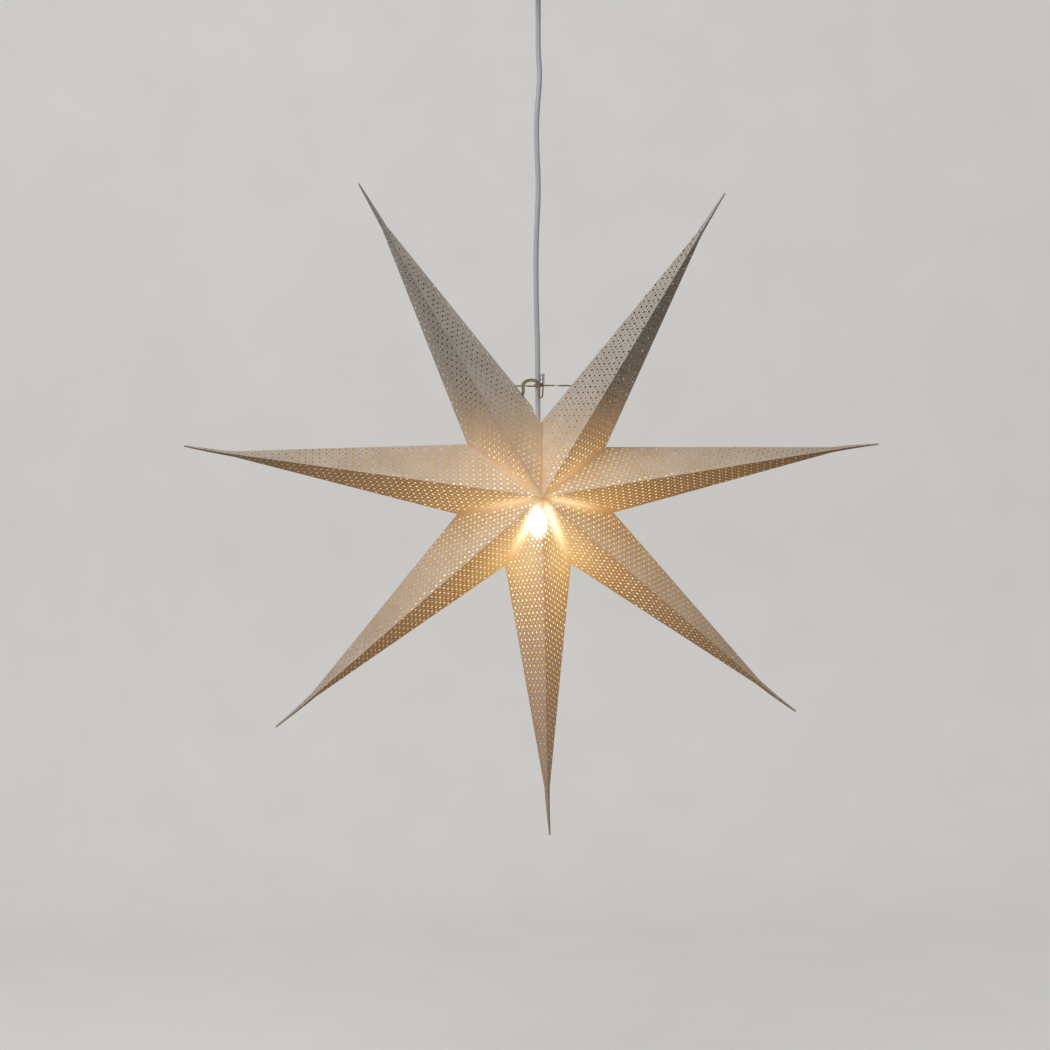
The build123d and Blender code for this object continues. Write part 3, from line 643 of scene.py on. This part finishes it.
# Painted glow along the glued seams near the bulb
for seam, strength in seam_glows:
    angle, reach = notches[seam]
    along_seam = add_node(tree, "ShaderNodeVectorMath", {
        0: apart.outputs[0], 1: tuple(radial(angle)),
    }, operation="DOT_PRODUCT")
    sideways = add_node(tree, "ShaderNodeVectorMath", {
        0: apart.outputs[0], 1: tuple(radial(angle + 90)),
    }, operation="DOT_PRODUCT")
    off = add_node(tree, "ShaderNodeMath", {0: sideways.outputs["Value"]}, operation="ABSOLUTE")
    band = add_node(tree, "ShaderNodeMapRange", {
        "Value": off.outputs[0], "From Min": 0.0, "From Max": seam_glow_width,
        "To Min": 1.0, "To Max": 0.0,
    }, interpolation_type="SMOOTHSTEP")
    fade = add_node(tree, "ShaderNodeMapRange", {
        "Value": along_seam.outputs["Value"], "From Min": seam_fade_start, "From Max": reach,
        "To Min": strength, "To Max": 0.0,
    }, interpolation_type="SMOOTHSTEP")
    begin = add_node(tree, "ShaderNodeMapRange", {
        "Value": along_seam.outputs["Value"],
        "From Min": seam_glow_start[0], "From Max": seam_glow_start[1],
    })
    ray = product(
        tree, band.outputs["Result"], fade.outputs["Result"], begin.outputs["Result"])
    brighter = add_node(tree, "ShaderNodeMath", {
        0: bands, 1: ray,
    }, operation="MAXIMUM")
    bands = brighter.outputs[0]
warmth = add_node(tree, "ShaderNodeMapRange", {
    "Value": held.outputs[0], "From Min": 0.25, "From Max": 0.55,
})
glow = colour("#ffb348")
for share, code in (
    (warmth.outputs["Result"], "#ffd590"), (bands, "#ffefcb"), (spot.outputs["Result"], "#ffffff"),
):
    glow = add_node(tree, "ShaderNodeMix", {
        0: share, 6: glow, 7: colour(code),
    }, data_type="RGBA").outputs[2]
power = add_node(tree, "ShaderNodeMath", {
    0: product(tree, bands, brightest_band), 1: held.outputs[0],
}, operation="ADD")
paper_face = add_node(tree, "ShaderNodeBsdfPrincipled", {
    "Base Color": paper_colour,
    "Roughness": 0.86,
    "Specular IOR Level": 0.25,
    "Emission Color": glow,
    "Emission Strength": power.outputs[0],
    "Normal": paper_bump,
})
through = add_node(tree, "ShaderNodeBsdfTranslucent", {"Color": colour("#ffdca6")})
thin_paper = add_node(tree, "ShaderNodeMixShader", {
    0: 0.04, 1: paper_face.outputs["BSDF"], 2: through.outputs["BSDF"],
})
tree.links.new(thin_paper.outputs[0], surface)

# Inside: the emission is painted lamplight near the bulb, fading into painted shade further off
inside_painted_light_and_shade, tree, surface = new_material("paper_inside_painted_light_and_shade")
place, apart, light = lamp_light(
    tree, shade_start=0.02, shade_end=0.11, in_shade=0.03, facing_up=1.0, facing_down=0.45)
# Painted shade: the inside paper's colour is darker than the sheet's
paper_colour, paper_bump = fibrous(tree, place, "#857b6b", "#978c7b")
bounded = add_node(tree, "ShaderNodeMath", {
    0: product(tree, light, inside_gain), 1: brightest_inside,
}, operation="MINIMUM")
warmth = add_node(tree, "ShaderNodeMapRange", {
    "Value": bounded.outputs[0], "From Min": 0.3, "From Max": 1.3,
})
inside_painted_light_colour = add_node(tree, "ShaderNodeMix", {
    0: warmth.outputs["Result"], 6: colour("#ffc05a"), 7: colour("#ffe9b8"),
}, data_type="RGBA")
inside_face = add_node(tree, "ShaderNodeBsdfPrincipled", {
    "Base Color": paper_colour,
    "Roughness": 0.86,
    "Specular IOR Level": 0.25,
    "Emission Color": inside_painted_light_colour.outputs[2],
    "Emission Strength": bounded.outputs[0],
    "Normal": paper_bump,
})
tree.links.new(inside_face.outputs["BSDF"], surface)

sheet_tree = perforated_sheet(paper)


def punched_sheet(wall, grid_turn):
    """The unfolded wall as a flat mesh with its holes, its grid turned by an angle in degrees."""
    x, y = wall.flat(*wall.outline())
    corners = [(float(a), float(b), 0.0) for a, b in zip(x, y)]
    last = len(corners) - 1
    outline = bpy.data.meshes.new("outline")
    outline.from_pydata(corners, [], [list(range(len(corners)))])
    along_seam = [
        min(edge.vertices) >= last - seam_steps or set(edge.vertices) == {0, last}
        for edge in outline.edges
    ]
    outline.attributes.new("seam", "BOOLEAN", "EDGE").data.foreach_set("value", along_seam)
    return run_tree(sheet_tree, outline, {
        "Pitch": hole_pitch, "Grid Turn": math.radians(grid_turn),
        "Hole Radius": hole_radius, "Pin Radius": pin_radius,
        "Fold Margin": fold_margin, "Seam Margin": seam_margin, "Rows": grid_rows,
    })


def add_wall(bm, wall, grid_turn):
    """Adds one wall in the round, with its share of the glue flange."""
    punched = punched_sheet(wall, grid_turn)
    spots = np.zeros(len(punched.vertices) * 3)
    punched.vertices.foreach_get("co", spots)
    spots = spots.reshape(-1, 3)
    verts = [bm.verts.new(spot) for spot in wall.folded(spots[:, 0], spots[:, 1])]
    for polygon in punched.polygons:
        bm.faces.new([verts[k] for k in polygon.vertices])
    bpy.data.meshes.remove(punched)
    outer, inner = ([bm.verts.new(spot) for spot in edge] for edge in wall.flange())
    for k in range(len(outer) - 1):
        bm.faces.new((outer[k], outer[k + 1], inner[k + 1], inner[k]))


for index, (name, direction, reach, grid_turn, curl) in enumerate(star_points):
    bm = bmesh.new()
    for side in (1, -1):
        seam = index if side == 1 else index - 1
        gap = open_seam_gap if seam % len(notches) == open_seam else seam_gap
        holed = index == open_seam + 1 and side == -1
        for face in (1, -1):
            wall = Wall(direction, reach, notches[seam], gap, side, face, curl, holed)
            add_wall(bm, wall, grid_turn)
    bmesh.ops.remove_doubles(bm, verts=bm.verts, dist=weld_distance)
    bmesh.ops.dissolve_degenerate(bm, edges=bm.edges, dist=least_edge)
    bmesh.ops.recalc_face_normals(bm, faces=bm.faces)
    # The face furthest from the middle plane tells whether the normals point outwards
    fold = max(bm.faces, key=lambda f: abs(f.calc_center_median().y))
    if fold.normal.y * fold.calc_center_median().y < 0:
        bmesh.ops.reverse_faces(bm, faces=bm.faces)
    mesh = finished_mesh(bm, name + "_paper")
    piece = add_piece(name + "_paper", mesh, paper)
    mesh.materials.append(inside_painted_light_and_shade)
    thick = piece.modifiers.new("thickness", "SOLIDIFY")
    thick.thickness = sheet
    thick.offset = -1.0
    thick.material_offset = 1
    finished = bpy.data.meshes.new_from_object(
        piece.evaluated_get(bpy.context.evaluated_depsgraph_get()))
    piece.modifiers.clear()
    piece.data = finished
    bpy.data.meshes.remove(mesh)
    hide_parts(name)
    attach(piece, "star")

# Tie string
# Golden twine of three twisted strands. It runs from one top point's fold to the other's and turns
# once round the cord. A doubled arch and a loop hang from the ferrule.
strand_radius = 0.00050
strand_spread = 0.00054
twist_pitch = 0.0046
string_z = star_centre.z + 0.1223
string_front = -0.0040
string_bow = 0.35
knot_inset = 0.006
knot_radius = 0.0014
knot_pitch = 0.0011
knot_turns = 3.2
twine_steps = 6
ferrule_place = Vector((0.0043, string_front - 0.0004, string_z + 0.0023))
ferrule_height = 0.011


def fold_at_string(index, side):
    """X of a top point's edge fold at the string's height."""
    direction, reach = star_points[index][1:3]
    low = radial(notches[open_seam][0]) * notches[open_seam][1]
    high = radial(direction) * (reach - blade_length)
    high = high + radial(direction + 90) * side * neck_half_width
    share = (string_z - star_centre.z - low[2]) / (high[2] - low[2])
    return low[0] + share * (high[0] - low[0])


def twisted_twine(material):
    """Geometry Nodes that twist three strands about a line."""
    tree, given = geometry_tree("twisted_twine", ("Strand Radius", "Strand Spread", "Twist Pitch"))
    line = add_node(tree, "GeometryNodeMeshToCurve", {"Mesh": given["Geometry"]})
    travelled = add_node(tree, "GeometryNodeSplineParameter")
    turns = add_node(tree, "ShaderNodeMath", {
        0: travelled.outputs["Length"], 1: given["Twist Pitch"],
    }, operation="DIVIDE")
    angle = add_node(tree, "ShaderNodeMath", {0: turns.outputs[0], 1: math.tau}, operation="MULTIPLY")
    tilted = add_node(tree, "GeometryNodeSetCurveTilt", {
        "Curve": line.outputs["Curve"], "Tilt": angle.outputs[0],
    })
    middles = add_node(tree, "GeometryNodeCurvePrimitiveCircle", {
        "Resolution": 3, "Radius": given["Strand Spread"],
    })
    strand = add_node(tree, "GeometryNodeCurvePrimitiveCircle", {
        "Resolution": 8, "Radius": given["Strand Radius"],
    })
    strands = add_node(tree, "GeometryNodeInstanceOnPoints", {
        "Points": middles.outputs["Curve"], "Instance": strand.outputs["Curve"],
    })
    profile = add_node(tree, "GeometryNodeRealizeInstances", {0: strands.outputs["Instances"]})
    rope = add_node(tree, "GeometryNodeCurveToMesh", {
        "Curve": tilted.outputs["Curve"], "Profile Curve": profile.outputs[0], "Fill Caps": True,
    })
    return end_tree(tree, rope.outputs["Mesh"], material)


# Twine: twisted jute with a gold tint. Fine hairs and darker fibres run along its strands.
twine, tree, surface = new_material("twisted_jute_twine")
place = add_node(tree, "ShaderNodeTexCoord")
hairs = add_node(tree, "ShaderNodeTexNoise", {
    "Vector": place.outputs["Object"], "Scale": 1500.0, "Detail": 4.0, "Roughness": 0.7,
})
tint = add_node(tree, "ShaderNodeMix", {
    0: hairs.outputs["Fac"], 6: colour("#8d7750"), 7: colour("#dccda4"),
}, data_type="RGBA")
bump = add_node(tree, "ShaderNodeBump", {
    "Height": hairs.outputs["Fac"], "Strength": 0.5, "Distance": 0.0002,
})
shader = add_node(tree, "ShaderNodeBsdfPrincipled", {
    "Base Color": tint.outputs[2],
    "Roughness": 0.78,
    "Sheen Weight": 0.25,
    "Normal": bump.outputs["Normal"],
})
tree.links.new(shader.outputs["BSDF"], surface)

left_fold = fold_at_string(open_seam + 1, -1)
right_fold = fold_at_string(open_seam, 1)
turn_radius = -string_front
turn_rise = 0.0009
turn_places = 17
knot_places = 40
around_cord = [
    (turn_radius * math.sin(turn), -turn_radius * math.cos(turn),
     string_z + turn_rise * (turn / math.pi - 1))
    for turn in np.linspace(0, math.tau, turn_places)
]


def from_run(*offsets):
    """Places of the string, measured from its run just in front of the cord."""
    return [(x, string_front + y, string_z + z) for x, y, z in offsets]


def from_ferrule(*offsets):
    """Places of the string, measured sideways and up from the ferrule's foot."""
    return [(ferrule_place.x + x, ferrule_place.y, ferrule_place.z + z) for x, z in offsets]


string_lines = [
    # Fold to fold, with one turn round the cord
    [(left_fold - knot_inset, 0, string_z - 0.0003),
     (-0.0130, string_bow * string_front * 0.9, string_z - 0.0004),
     (-0.0080, string_bow * string_front, string_z - 0.0005),
     (-0.0040, string_front, string_z - 0.0007)]
    + around_cord
    + [(0.0040, string_front, string_z + 0.0006),
       (0.0080, string_bow * string_front, string_z + 0.0002),
       (right_fold + knot_inset, 0, string_z)],
    # Doubled arch from the ferrule's foot over the run, with its tails tucked behind the left fold
    from_run(
        (0.0075, -0.0008, -0.0006), (0.0040, -0.0014, 0.0012), (-0.0010, -0.0020, 0.0056),
        (-0.0070, -0.0020, 0.0074), (-0.0125, -0.0008, 0.0066), (-0.0172, 0.0006, 0.0036),
        (-0.0184, 0.0008, -0.0004), (-0.0176, 0.0006, -0.0050), (-0.0178, 0.0020, -0.0094),
        (-0.0202, 0.0058, -0.0140)),
    from_run(
        (0.0022, -0.0004, -0.0004), (-0.0006, -0.0014, 0.0030), (-0.0070, -0.0016, 0.0056),
        (-0.0120, -0.0004, 0.0048), (-0.0158, 0.0006, 0.0022), (-0.0164, 0.0002, -0.0012),
        (-0.0156, -0.0002, -0.0050), (-0.0160, 0.0012, -0.0090), (-0.0182, 0.0056, -0.0142)),
    # Loop under the ferrule
    from_ferrule((-0.0010, 0.0040), (-0.0010, 0.0008), (-0.0016, -0.0014))
    + from_run(
        (0.0006, -0.0012, -0.0033), (-0.0001, -0.0012, -0.0080), (0.0003, -0.0012, -0.0124),
        (0.0024, -0.0012, -0.0135), (0.0046, -0.0012, -0.0124), (0.0050, -0.0012, -0.0080),
        (0.0050, -0.0012, -0.0033))
    + from_ferrule((0.0012, -0.0014), (0.0010, 0.0008), (0.0010, 0.0040)),
]
# A stopper knot inside each point: the twine wound about three times round itself
for x, side in ((left_fold - knot_inset, -1), (right_fold + knot_inset, 1)):
    string_lines.append([
        (x + side * (turn / math.tau - knot_turns / 2) * knot_pitch,
         knot_radius * math.sin(turn), string_z + knot_radius * math.cos(turn))
        for turn in np.linspace(0.0, knot_turns * math.tau, knot_places)
    ])
twine_tree = twisted_twine(twine)
bm = bmesh.new()
for line in string_lines:
    places = spline_points(line, twine_steps)
    path = bpy.data.meshes.new("twine_line")
    path.from_pydata(places, [(k, k + 1) for k in range(len(places) - 1)], [])
    twisted = run_tree(twine_tree, path, {
        "Strand Radius": strand_radius, "Strand Spread": strand_spread, "Twist Pitch": twist_pitch,
    })
    bm.from_mesh(twisted)
    bpy.data.meshes.remove(twisted)
for face in bm.faces:
    face.smooth = True
bmesh.ops.recalc_face_normals(bm, faces=bm.faces)
tie_twine = add_piece("tie_twine", finished_mesh(bm, "tie_twine"), twine)
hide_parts("tie_string")
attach(tie_twine, "star")

# Ferrule
# A bright aluminium sleeve, crimped twice round both ends of the loop so that they can't slip.
ferrule_radius = 0.0029
ferrule_bore = 0.0021
ferrule_edge = 0.0003
ferrule_sides = 40
crimp_depth = 0.00045
crimp_places = (0.3, 0.7)
crimp_width = 0.085
crimp_steps = 34
# Polished aluminium: bright and nearly smooth, with fine scratches.
polished = finish(
    "polished_aluminium", ("#c4c5c8", "#dcdcdc"), 400.0, {"Scale": 1200.0, "Detail": 3.0},
    (0.14, 0.30), None, {"Metallic": 1.0},
)
outer_line = [(ferrule_radius - ferrule_edge, 0.0), (ferrule_radius, ferrule_edge)]
for share in np.linspace(0.06, 0.94, crimp_steps):
    dent = max(math.exp(-((share - middle) / crimp_width) ** 2) for middle in crimp_places)
    outer_line.append((ferrule_radius - crimp_depth * dent, share * ferrule_height))
outer_line += [
    (ferrule_radius, ferrule_height - ferrule_edge), (ferrule_radius - ferrule_edge, ferrule_height),
]
wall_line = outer_line + [(ferrule_bore, ferrule_height), (ferrule_bore, 0.0)]
bm = bmesh.new()
rings = []
for radius, height in wall_line:
    rings.append([
        bm.verts.new(ferrule_place + Vector((
            radius * math.cos(turn), radius * math.sin(turn), height)))
        for turn in np.linspace(0, math.tau, ferrule_sides, endpoint=False)
    ])
join_rings(bm, rings + rings[:1])
bmesh.ops.recalc_face_normals(bm, faces=bm.faces)
crimped_ferrule = add_piece("crimped_ferrule", finished_mesh(bm, "crimped_ferrule"), polished)
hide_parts("string_ferrule")
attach(crimped_ferrule, "star")

# Seam clips
# Two clips bent from spring strip, one at the front and one at the rear. They pinch the flanges of
# the one open seam together inside the star, once it has been put round the lamp.


def dress(material, *names):
    """Gives CAD pieces a finish."""
    for name in names:
        for slot in nodes[name].material_slots:
            slot.link = "OBJECT"
            slot.material = material


def worn_metal(name, low, high, smooth, rough, scale):
    """A bare metal: two tints wander over it, and fine marks change its gloss."""
    marks = {"Scale": scale, "Detail": 4.0, "Roughness": 0.65}
    return finish(
        name, (low, high), scale / 4, marks, (smooth, rough), (0.1, 0.0001), {"Metallic": 1.0})


# Bright-rolled spring strip: smooth and hardly marked.
spring_strip = worn_metal("bright_rolled_strip", "#b9bbbe", "#d3d4d6", 0.18, 0.32, 900.0)
dress(spring_strip, "seam_clips")

# Lampholder
# A moulded cap and skirt screw together round an unglazed ceramic block. The block holds a pressed
# brass liner, a sprung contact and the two screws that clamp the cord's cores.


def moulded(name, low, high, smooth, rough, ior, grain, depth):
    """A moulding or casting: slightly uneven colour, with a fine grain in its gloss and height."""
    marks = {"Scale": grain, "Detail": 3.0}
    return finish(
        name, (low, high), 60.0, marks, (smooth, rough), (depth, 0.0001), {"IOR": ior})


# Moulded thermoplastic: white and satin, with the mould's fine spark-eroded grain.
white_moulding = moulded(
    "white_moulded_thermoplastic", "#e3e3df", "#eeeeea", 0.36, 0.5, 1.5, 2500.0, 0.2)
# Steatite: dry-pressed and fired without glaze, so it is chalky.
steatite = moulded("unglazed_steatite", "#d8d2c4", "#e6e0d3", 0.7, 0.85, 1.55, 1800.0, 0.35)
# Pressed brass: bright where it was drawn, dulled in between.
brass = worn_metal("pressed_brass", "#b08d4c", "#d2b06a", 0.2, 0.42, 700.0)

# Core insulation: soft PVC, brown on the live core and blue on the neutral one. The cores lie side
# by side along X at the lampholder, and along Y at the ceiling.
cores, tree, surface = new_material("pvc_core_insulation")
place = add_node(tree, "ShaderNodeTexCoord")
parts = add_node(tree, "ShaderNodeSeparateXYZ", {0: place.outputs["Object"]})
lamp_end = add_node(tree, "ShaderNodeMath", {
    0: parts.outputs["Z"], 1: star_centre.z / 2,
}, operation="LESS_THAN")
across = add_node(tree, "ShaderNodeMix", {
    0: lamp_end.outputs[0], 2: parts.outputs["Y"], 3: parts.outputs["X"],
}, data_type="FLOAT")
neutral = add_node(tree, "ShaderNodeMath", {0: across.outputs[0], 1: 0.0}, operation="GREATER_THAN")
live_tint = mottled(tree, "#5a3320", "#6b3f28", 300.0)
neutral_tint = mottled(tree, "#2b5a93", "#3a6ba5", 300.0)
tint = add_node(tree, "ShaderNodeMix", {
    0: neutral.outputs[0], 6: live_tint, 7: neutral_tint,
}, data_type="RGBA")
shader = add_node(tree, "ShaderNodeBsdfPrincipled", {
    "Base Color": tint.outputs[2], "Roughness": 0.42, "IOR": 1.53,
})
tree.links.new(shader.outputs["BSDF"], surface)

dress(white_moulding, "lampholder_cap", "lampholder_body", "cord_grip")
dress(steatite, "contact_insert")
dress(brass, "socket_liner", "centre_contact", "lampholder_screws")
dress(cores, "lamp_leads")

# Bulb
# A frosted candle bulb with a nickel-plated screw base. It burns at the level where its glass looks
# evenly white. Its glow lights the paper round it a little, and the rest of the paper's glow is
# painted.
bulb_middle = (0.0, 0.0, star_centre.z + (bulb_top + bulb_bottom) / 2)
# Inside-frosted glass: milky and satin. It glows from hottest to coolest over a stretch measured
# from the middle of the bulb.
hottest = 3.0
coolest = 0.8
glow_stretch = (0.016, 0.045)
frosted = finish(
    "inside_frosted_glass", ("#f4ead8", "#fff6e6"), 200.0, {"Scale": 2200.0, "Detail": 3.0},
    (0.3, 0.45), None, {"IOR": 1.5, "Emission Color": colour("#ffe3b0")},
)
tree = frosted.node_tree
place = add_node(tree, "ShaderNodeTexCoord")
apart = add_node(tree, "ShaderNodeVectorMath", {
    0: place.outputs["Object"], 1: bulb_middle,
}, operation="DISTANCE")
heat = add_node(tree, "ShaderNodeMapRange", {
    "Value": apart.outputs["Value"], "From Min": glow_stretch[0], "From Max": glow_stretch[1],
    "To Min": hottest, "To Max": coolest,
})
tree.links.new(heat.outputs["Result"], tree.nodes["Principled BSDF"].inputs["Emission Strength"])

# Clear glass: the fused stem, with slight streaks in its gloss.
clear_glass = finish(
    "fused_clear_glass", ("#eef3f2", "#f8fbfa"), 200.0, {"Scale": 400.0, "Detail": 2.0},
    (0.02, 0.1), None, {"IOR": 1.5, "Transmission Weight": 1.0},
)

# Tungsten: a drawn and coiled wire that glows yellow-white.
tungsten, tree, surface = new_material("glowing_tungsten_wire")
place = add_node(tree, "ShaderNodeTexCoord")
coils = add_node(tree, "ShaderNodeTexNoise", {
    "Vector": place.outputs["Object"], "Scale": 3000.0, "Detail": 2.0,
})
heat = add_node(tree, "ShaderNodeMapRange", {
    "Value": coils.outputs["Fac"], "To Min": 10.0, "To Max": 16.0,
})
shader = add_node(tree, "ShaderNodeBsdfPrincipled", {
    "Base Color": mottled(tree, "#6c675f", "#88837a", 900.0),
    "Metallic": 1.0,
    "Roughness": 0.4,
    "Emission Color": colour("#ffd890"),
    "Emission Strength": heat.outputs["Result"],
})
tree.links.new(shader.outputs["BSDF"], surface)

# Nickel plate: slightly yellow and satin from the rolled thread.
nickel = worn_metal("nickel_plated_shell", "#b5b0a5", "#cdc8bc", 0.22, 0.38, 800.0)
# Fused glass: black and glossy, poured round the base's contact.
black_glass = moulded("fused_black_glass", "#0c0c0f", "#17171b", 0.06, 0.2, 1.52, 500.0, 0.15)
# Soft solder: a dull grey bead with a lightly crinkled skin.
solder = worn_metal("soft_solder", "#8d8e90", "#a9aaac", 0.3, 0.55, 1500.0)
dress(frosted, "bulb_glass")
dress(clear_glass, "bulb_stem")
dress(tungsten, "filament")
dress(nickel, "bulb_base")
dress(black_glass, "bulb_insulator")
dress(solder, "bulb_button")

# Ceiling fitting
# A zinc-plated strap is screwed to the ceiling and carries a hook. The cord hangs from the hook by
# a moulded eye, its cores end in a terminal block, and a white cup slides up the cord over it all.
# Zinc plate: cool grey with faint blue and straw patches from its passivation.
zinc = worn_metal("zinc_plated_steel", "#9fa4a8", "#c0c2bd", 0.28, 0.5, 500.0)
# Moulded rubber: soft, white and matt.
grommet_rubber = moulded("moulded_white_rubber", "#d3d2cc", "#deddd7", 0.6, 0.75, 1.5, 1500.0, 0.3)
dress(zinc, "ceiling_strap", "ceiling_hook", "hook_nut")
dress(white_moulding, "cord_hanger", "terminal_block", "ceiling_cup", "cup_screw")
dress(brass, "terminal_screws")
dress(cores, "ceiling_leads")
dress(grommet_rubber, "cup_grommet")

# The studio
# A pale floor and backdrop well behind the star, one large soft lamp above it and a weaker one
# from each side, so that the walls that face down stay dim enough to show the glow painted on them.
backdrop_paper, tree, surface = new_material("pale_backdrop_paper")
path = add_node(tree, "ShaderNodeLightPath")
seen = path.outputs["Is Camera Ray"]
for ray in ("Is Glossy Ray", "Is Transmission Ray"):
    seen = add_node(tree, "ShaderNodeMath", {
        0: seen, 1: path.outputs[ray],
    }, operation="MAXIMUM").outputs[0]
grain = mottled(tree, "#cfcdc9", "#d6d4d0", 9.0)
matt = add_node(tree, "ShaderNodeBsdfPrincipled", {
    "Base Color": grain, "Roughness": 0.95, "Specular IOR Level": 0.1,
})
quiet = add_node(tree, "ShaderNodeBsdfDiffuse", {"Color": colour("#5c5c5e")})
lit = add_node(tree, "ShaderNodeEmission", {"Color": grain, "Strength": 0.62})
both = add_node(tree, "ShaderNodeAddShader", {0: matt.outputs["BSDF"], 1: lit.outputs[0]})
shown = add_node(tree, "ShaderNodeMixShader", {
    0: seen, 1: quiet.outputs["BSDF"], 2: both.outputs[0],
})
# From behind it is clear, so that the star's back can be seen.
facing = add_node(tree, "ShaderNodeNewGeometry")
clear = add_node(tree, "ShaderNodeBsdfTransparent")
one_sided = add_node(tree, "ShaderNodeMixShader", {
    0: facing.outputs["Backfacing"], 1: shown.outputs[0], 2: clear.outputs["BSDF"],
})
tree.links.new(one_sided.outputs[0], surface)
floor_height = -1.35
floor_front = -3.6
backdrop_distance = 1.6
backdrop_top = 2.4
bend_radius = 0.6
bend_steps = 12
half_span = 4.0
bm = bmesh.new()
profile = [(floor_front, floor_height)]
for k in range(bend_steps + 1):
    turn = math.pi / 2 * k / bend_steps
    profile.append((
        backdrop_distance - bend_radius + bend_radius * math.sin(turn),
        floor_height + bend_radius - bend_radius * math.cos(turn),
    ))
profile.append((backdrop_distance, backdrop_top))
rows = [[bm.verts.new((x, y, z)) for y, z in profile] for x in (-half_span, half_span)]
for k in range(len(profile) - 1):
    bm.faces.new((rows[0][k], rows[1][k], rows[1][k + 1], rows[0][k + 1])).smooth = True
mesh = finished_mesh(bm, "backdrop")
add_piece("backdrop", mesh, backdrop_paper)

for name, place, size, power, code in (
    ("overhead_lamp", (-0.6, -1.0, 1.0), 1.6, 20.0, "#fffefb"),
    ("left_lamp", (-2.2, -1.6, -0.1), 1.4, 13.0, "#f4f7ff"),
    ("right_lamp", (2.4, -1.2, 0.1), 1.4, 8.5, "#ffffff"),
):
    lamp_data = bpy.data.lights.new(name, "AREA")
    lamp_data.size = size
    lamp_data.energy = power
    lamp_data.color = colour(code)[:3]
    lamp = bpy.data.objects.new(name, lamp_data)
    bpy.context.scene.collection.objects.link(lamp)
    lamp.location = place
    lamp.rotation_euler = (Vector(place) - star_centre).to_track_quat("Z", "Y").to_euler()
# The sky gives the object a faint light, and shows pale to the camera from behind.
sky_light = 0.045
sky_shown = 0.68
world = bpy.data.worlds.new("studio")
world.use_nodes = True
sky = world.node_tree.nodes["Background"]
sky.inputs["Color"].default_value = colour("#eef1f6")
sky_path = add_node(world.node_tree, "ShaderNodeLightPath")
sky_level = add_node(world.node_tree, "ShaderNodeMapRange", {
    "Value": sky_path.outputs["Is Camera Ray"], "To Min": sky_light, "To Max": sky_shown,
})
world.node_tree.links.new(sky_level.outputs[0], sky.inputs["Strength"])
bpy.context.scene.world = world
bpy.context.scene.view_settings.view_transform = "Standard"
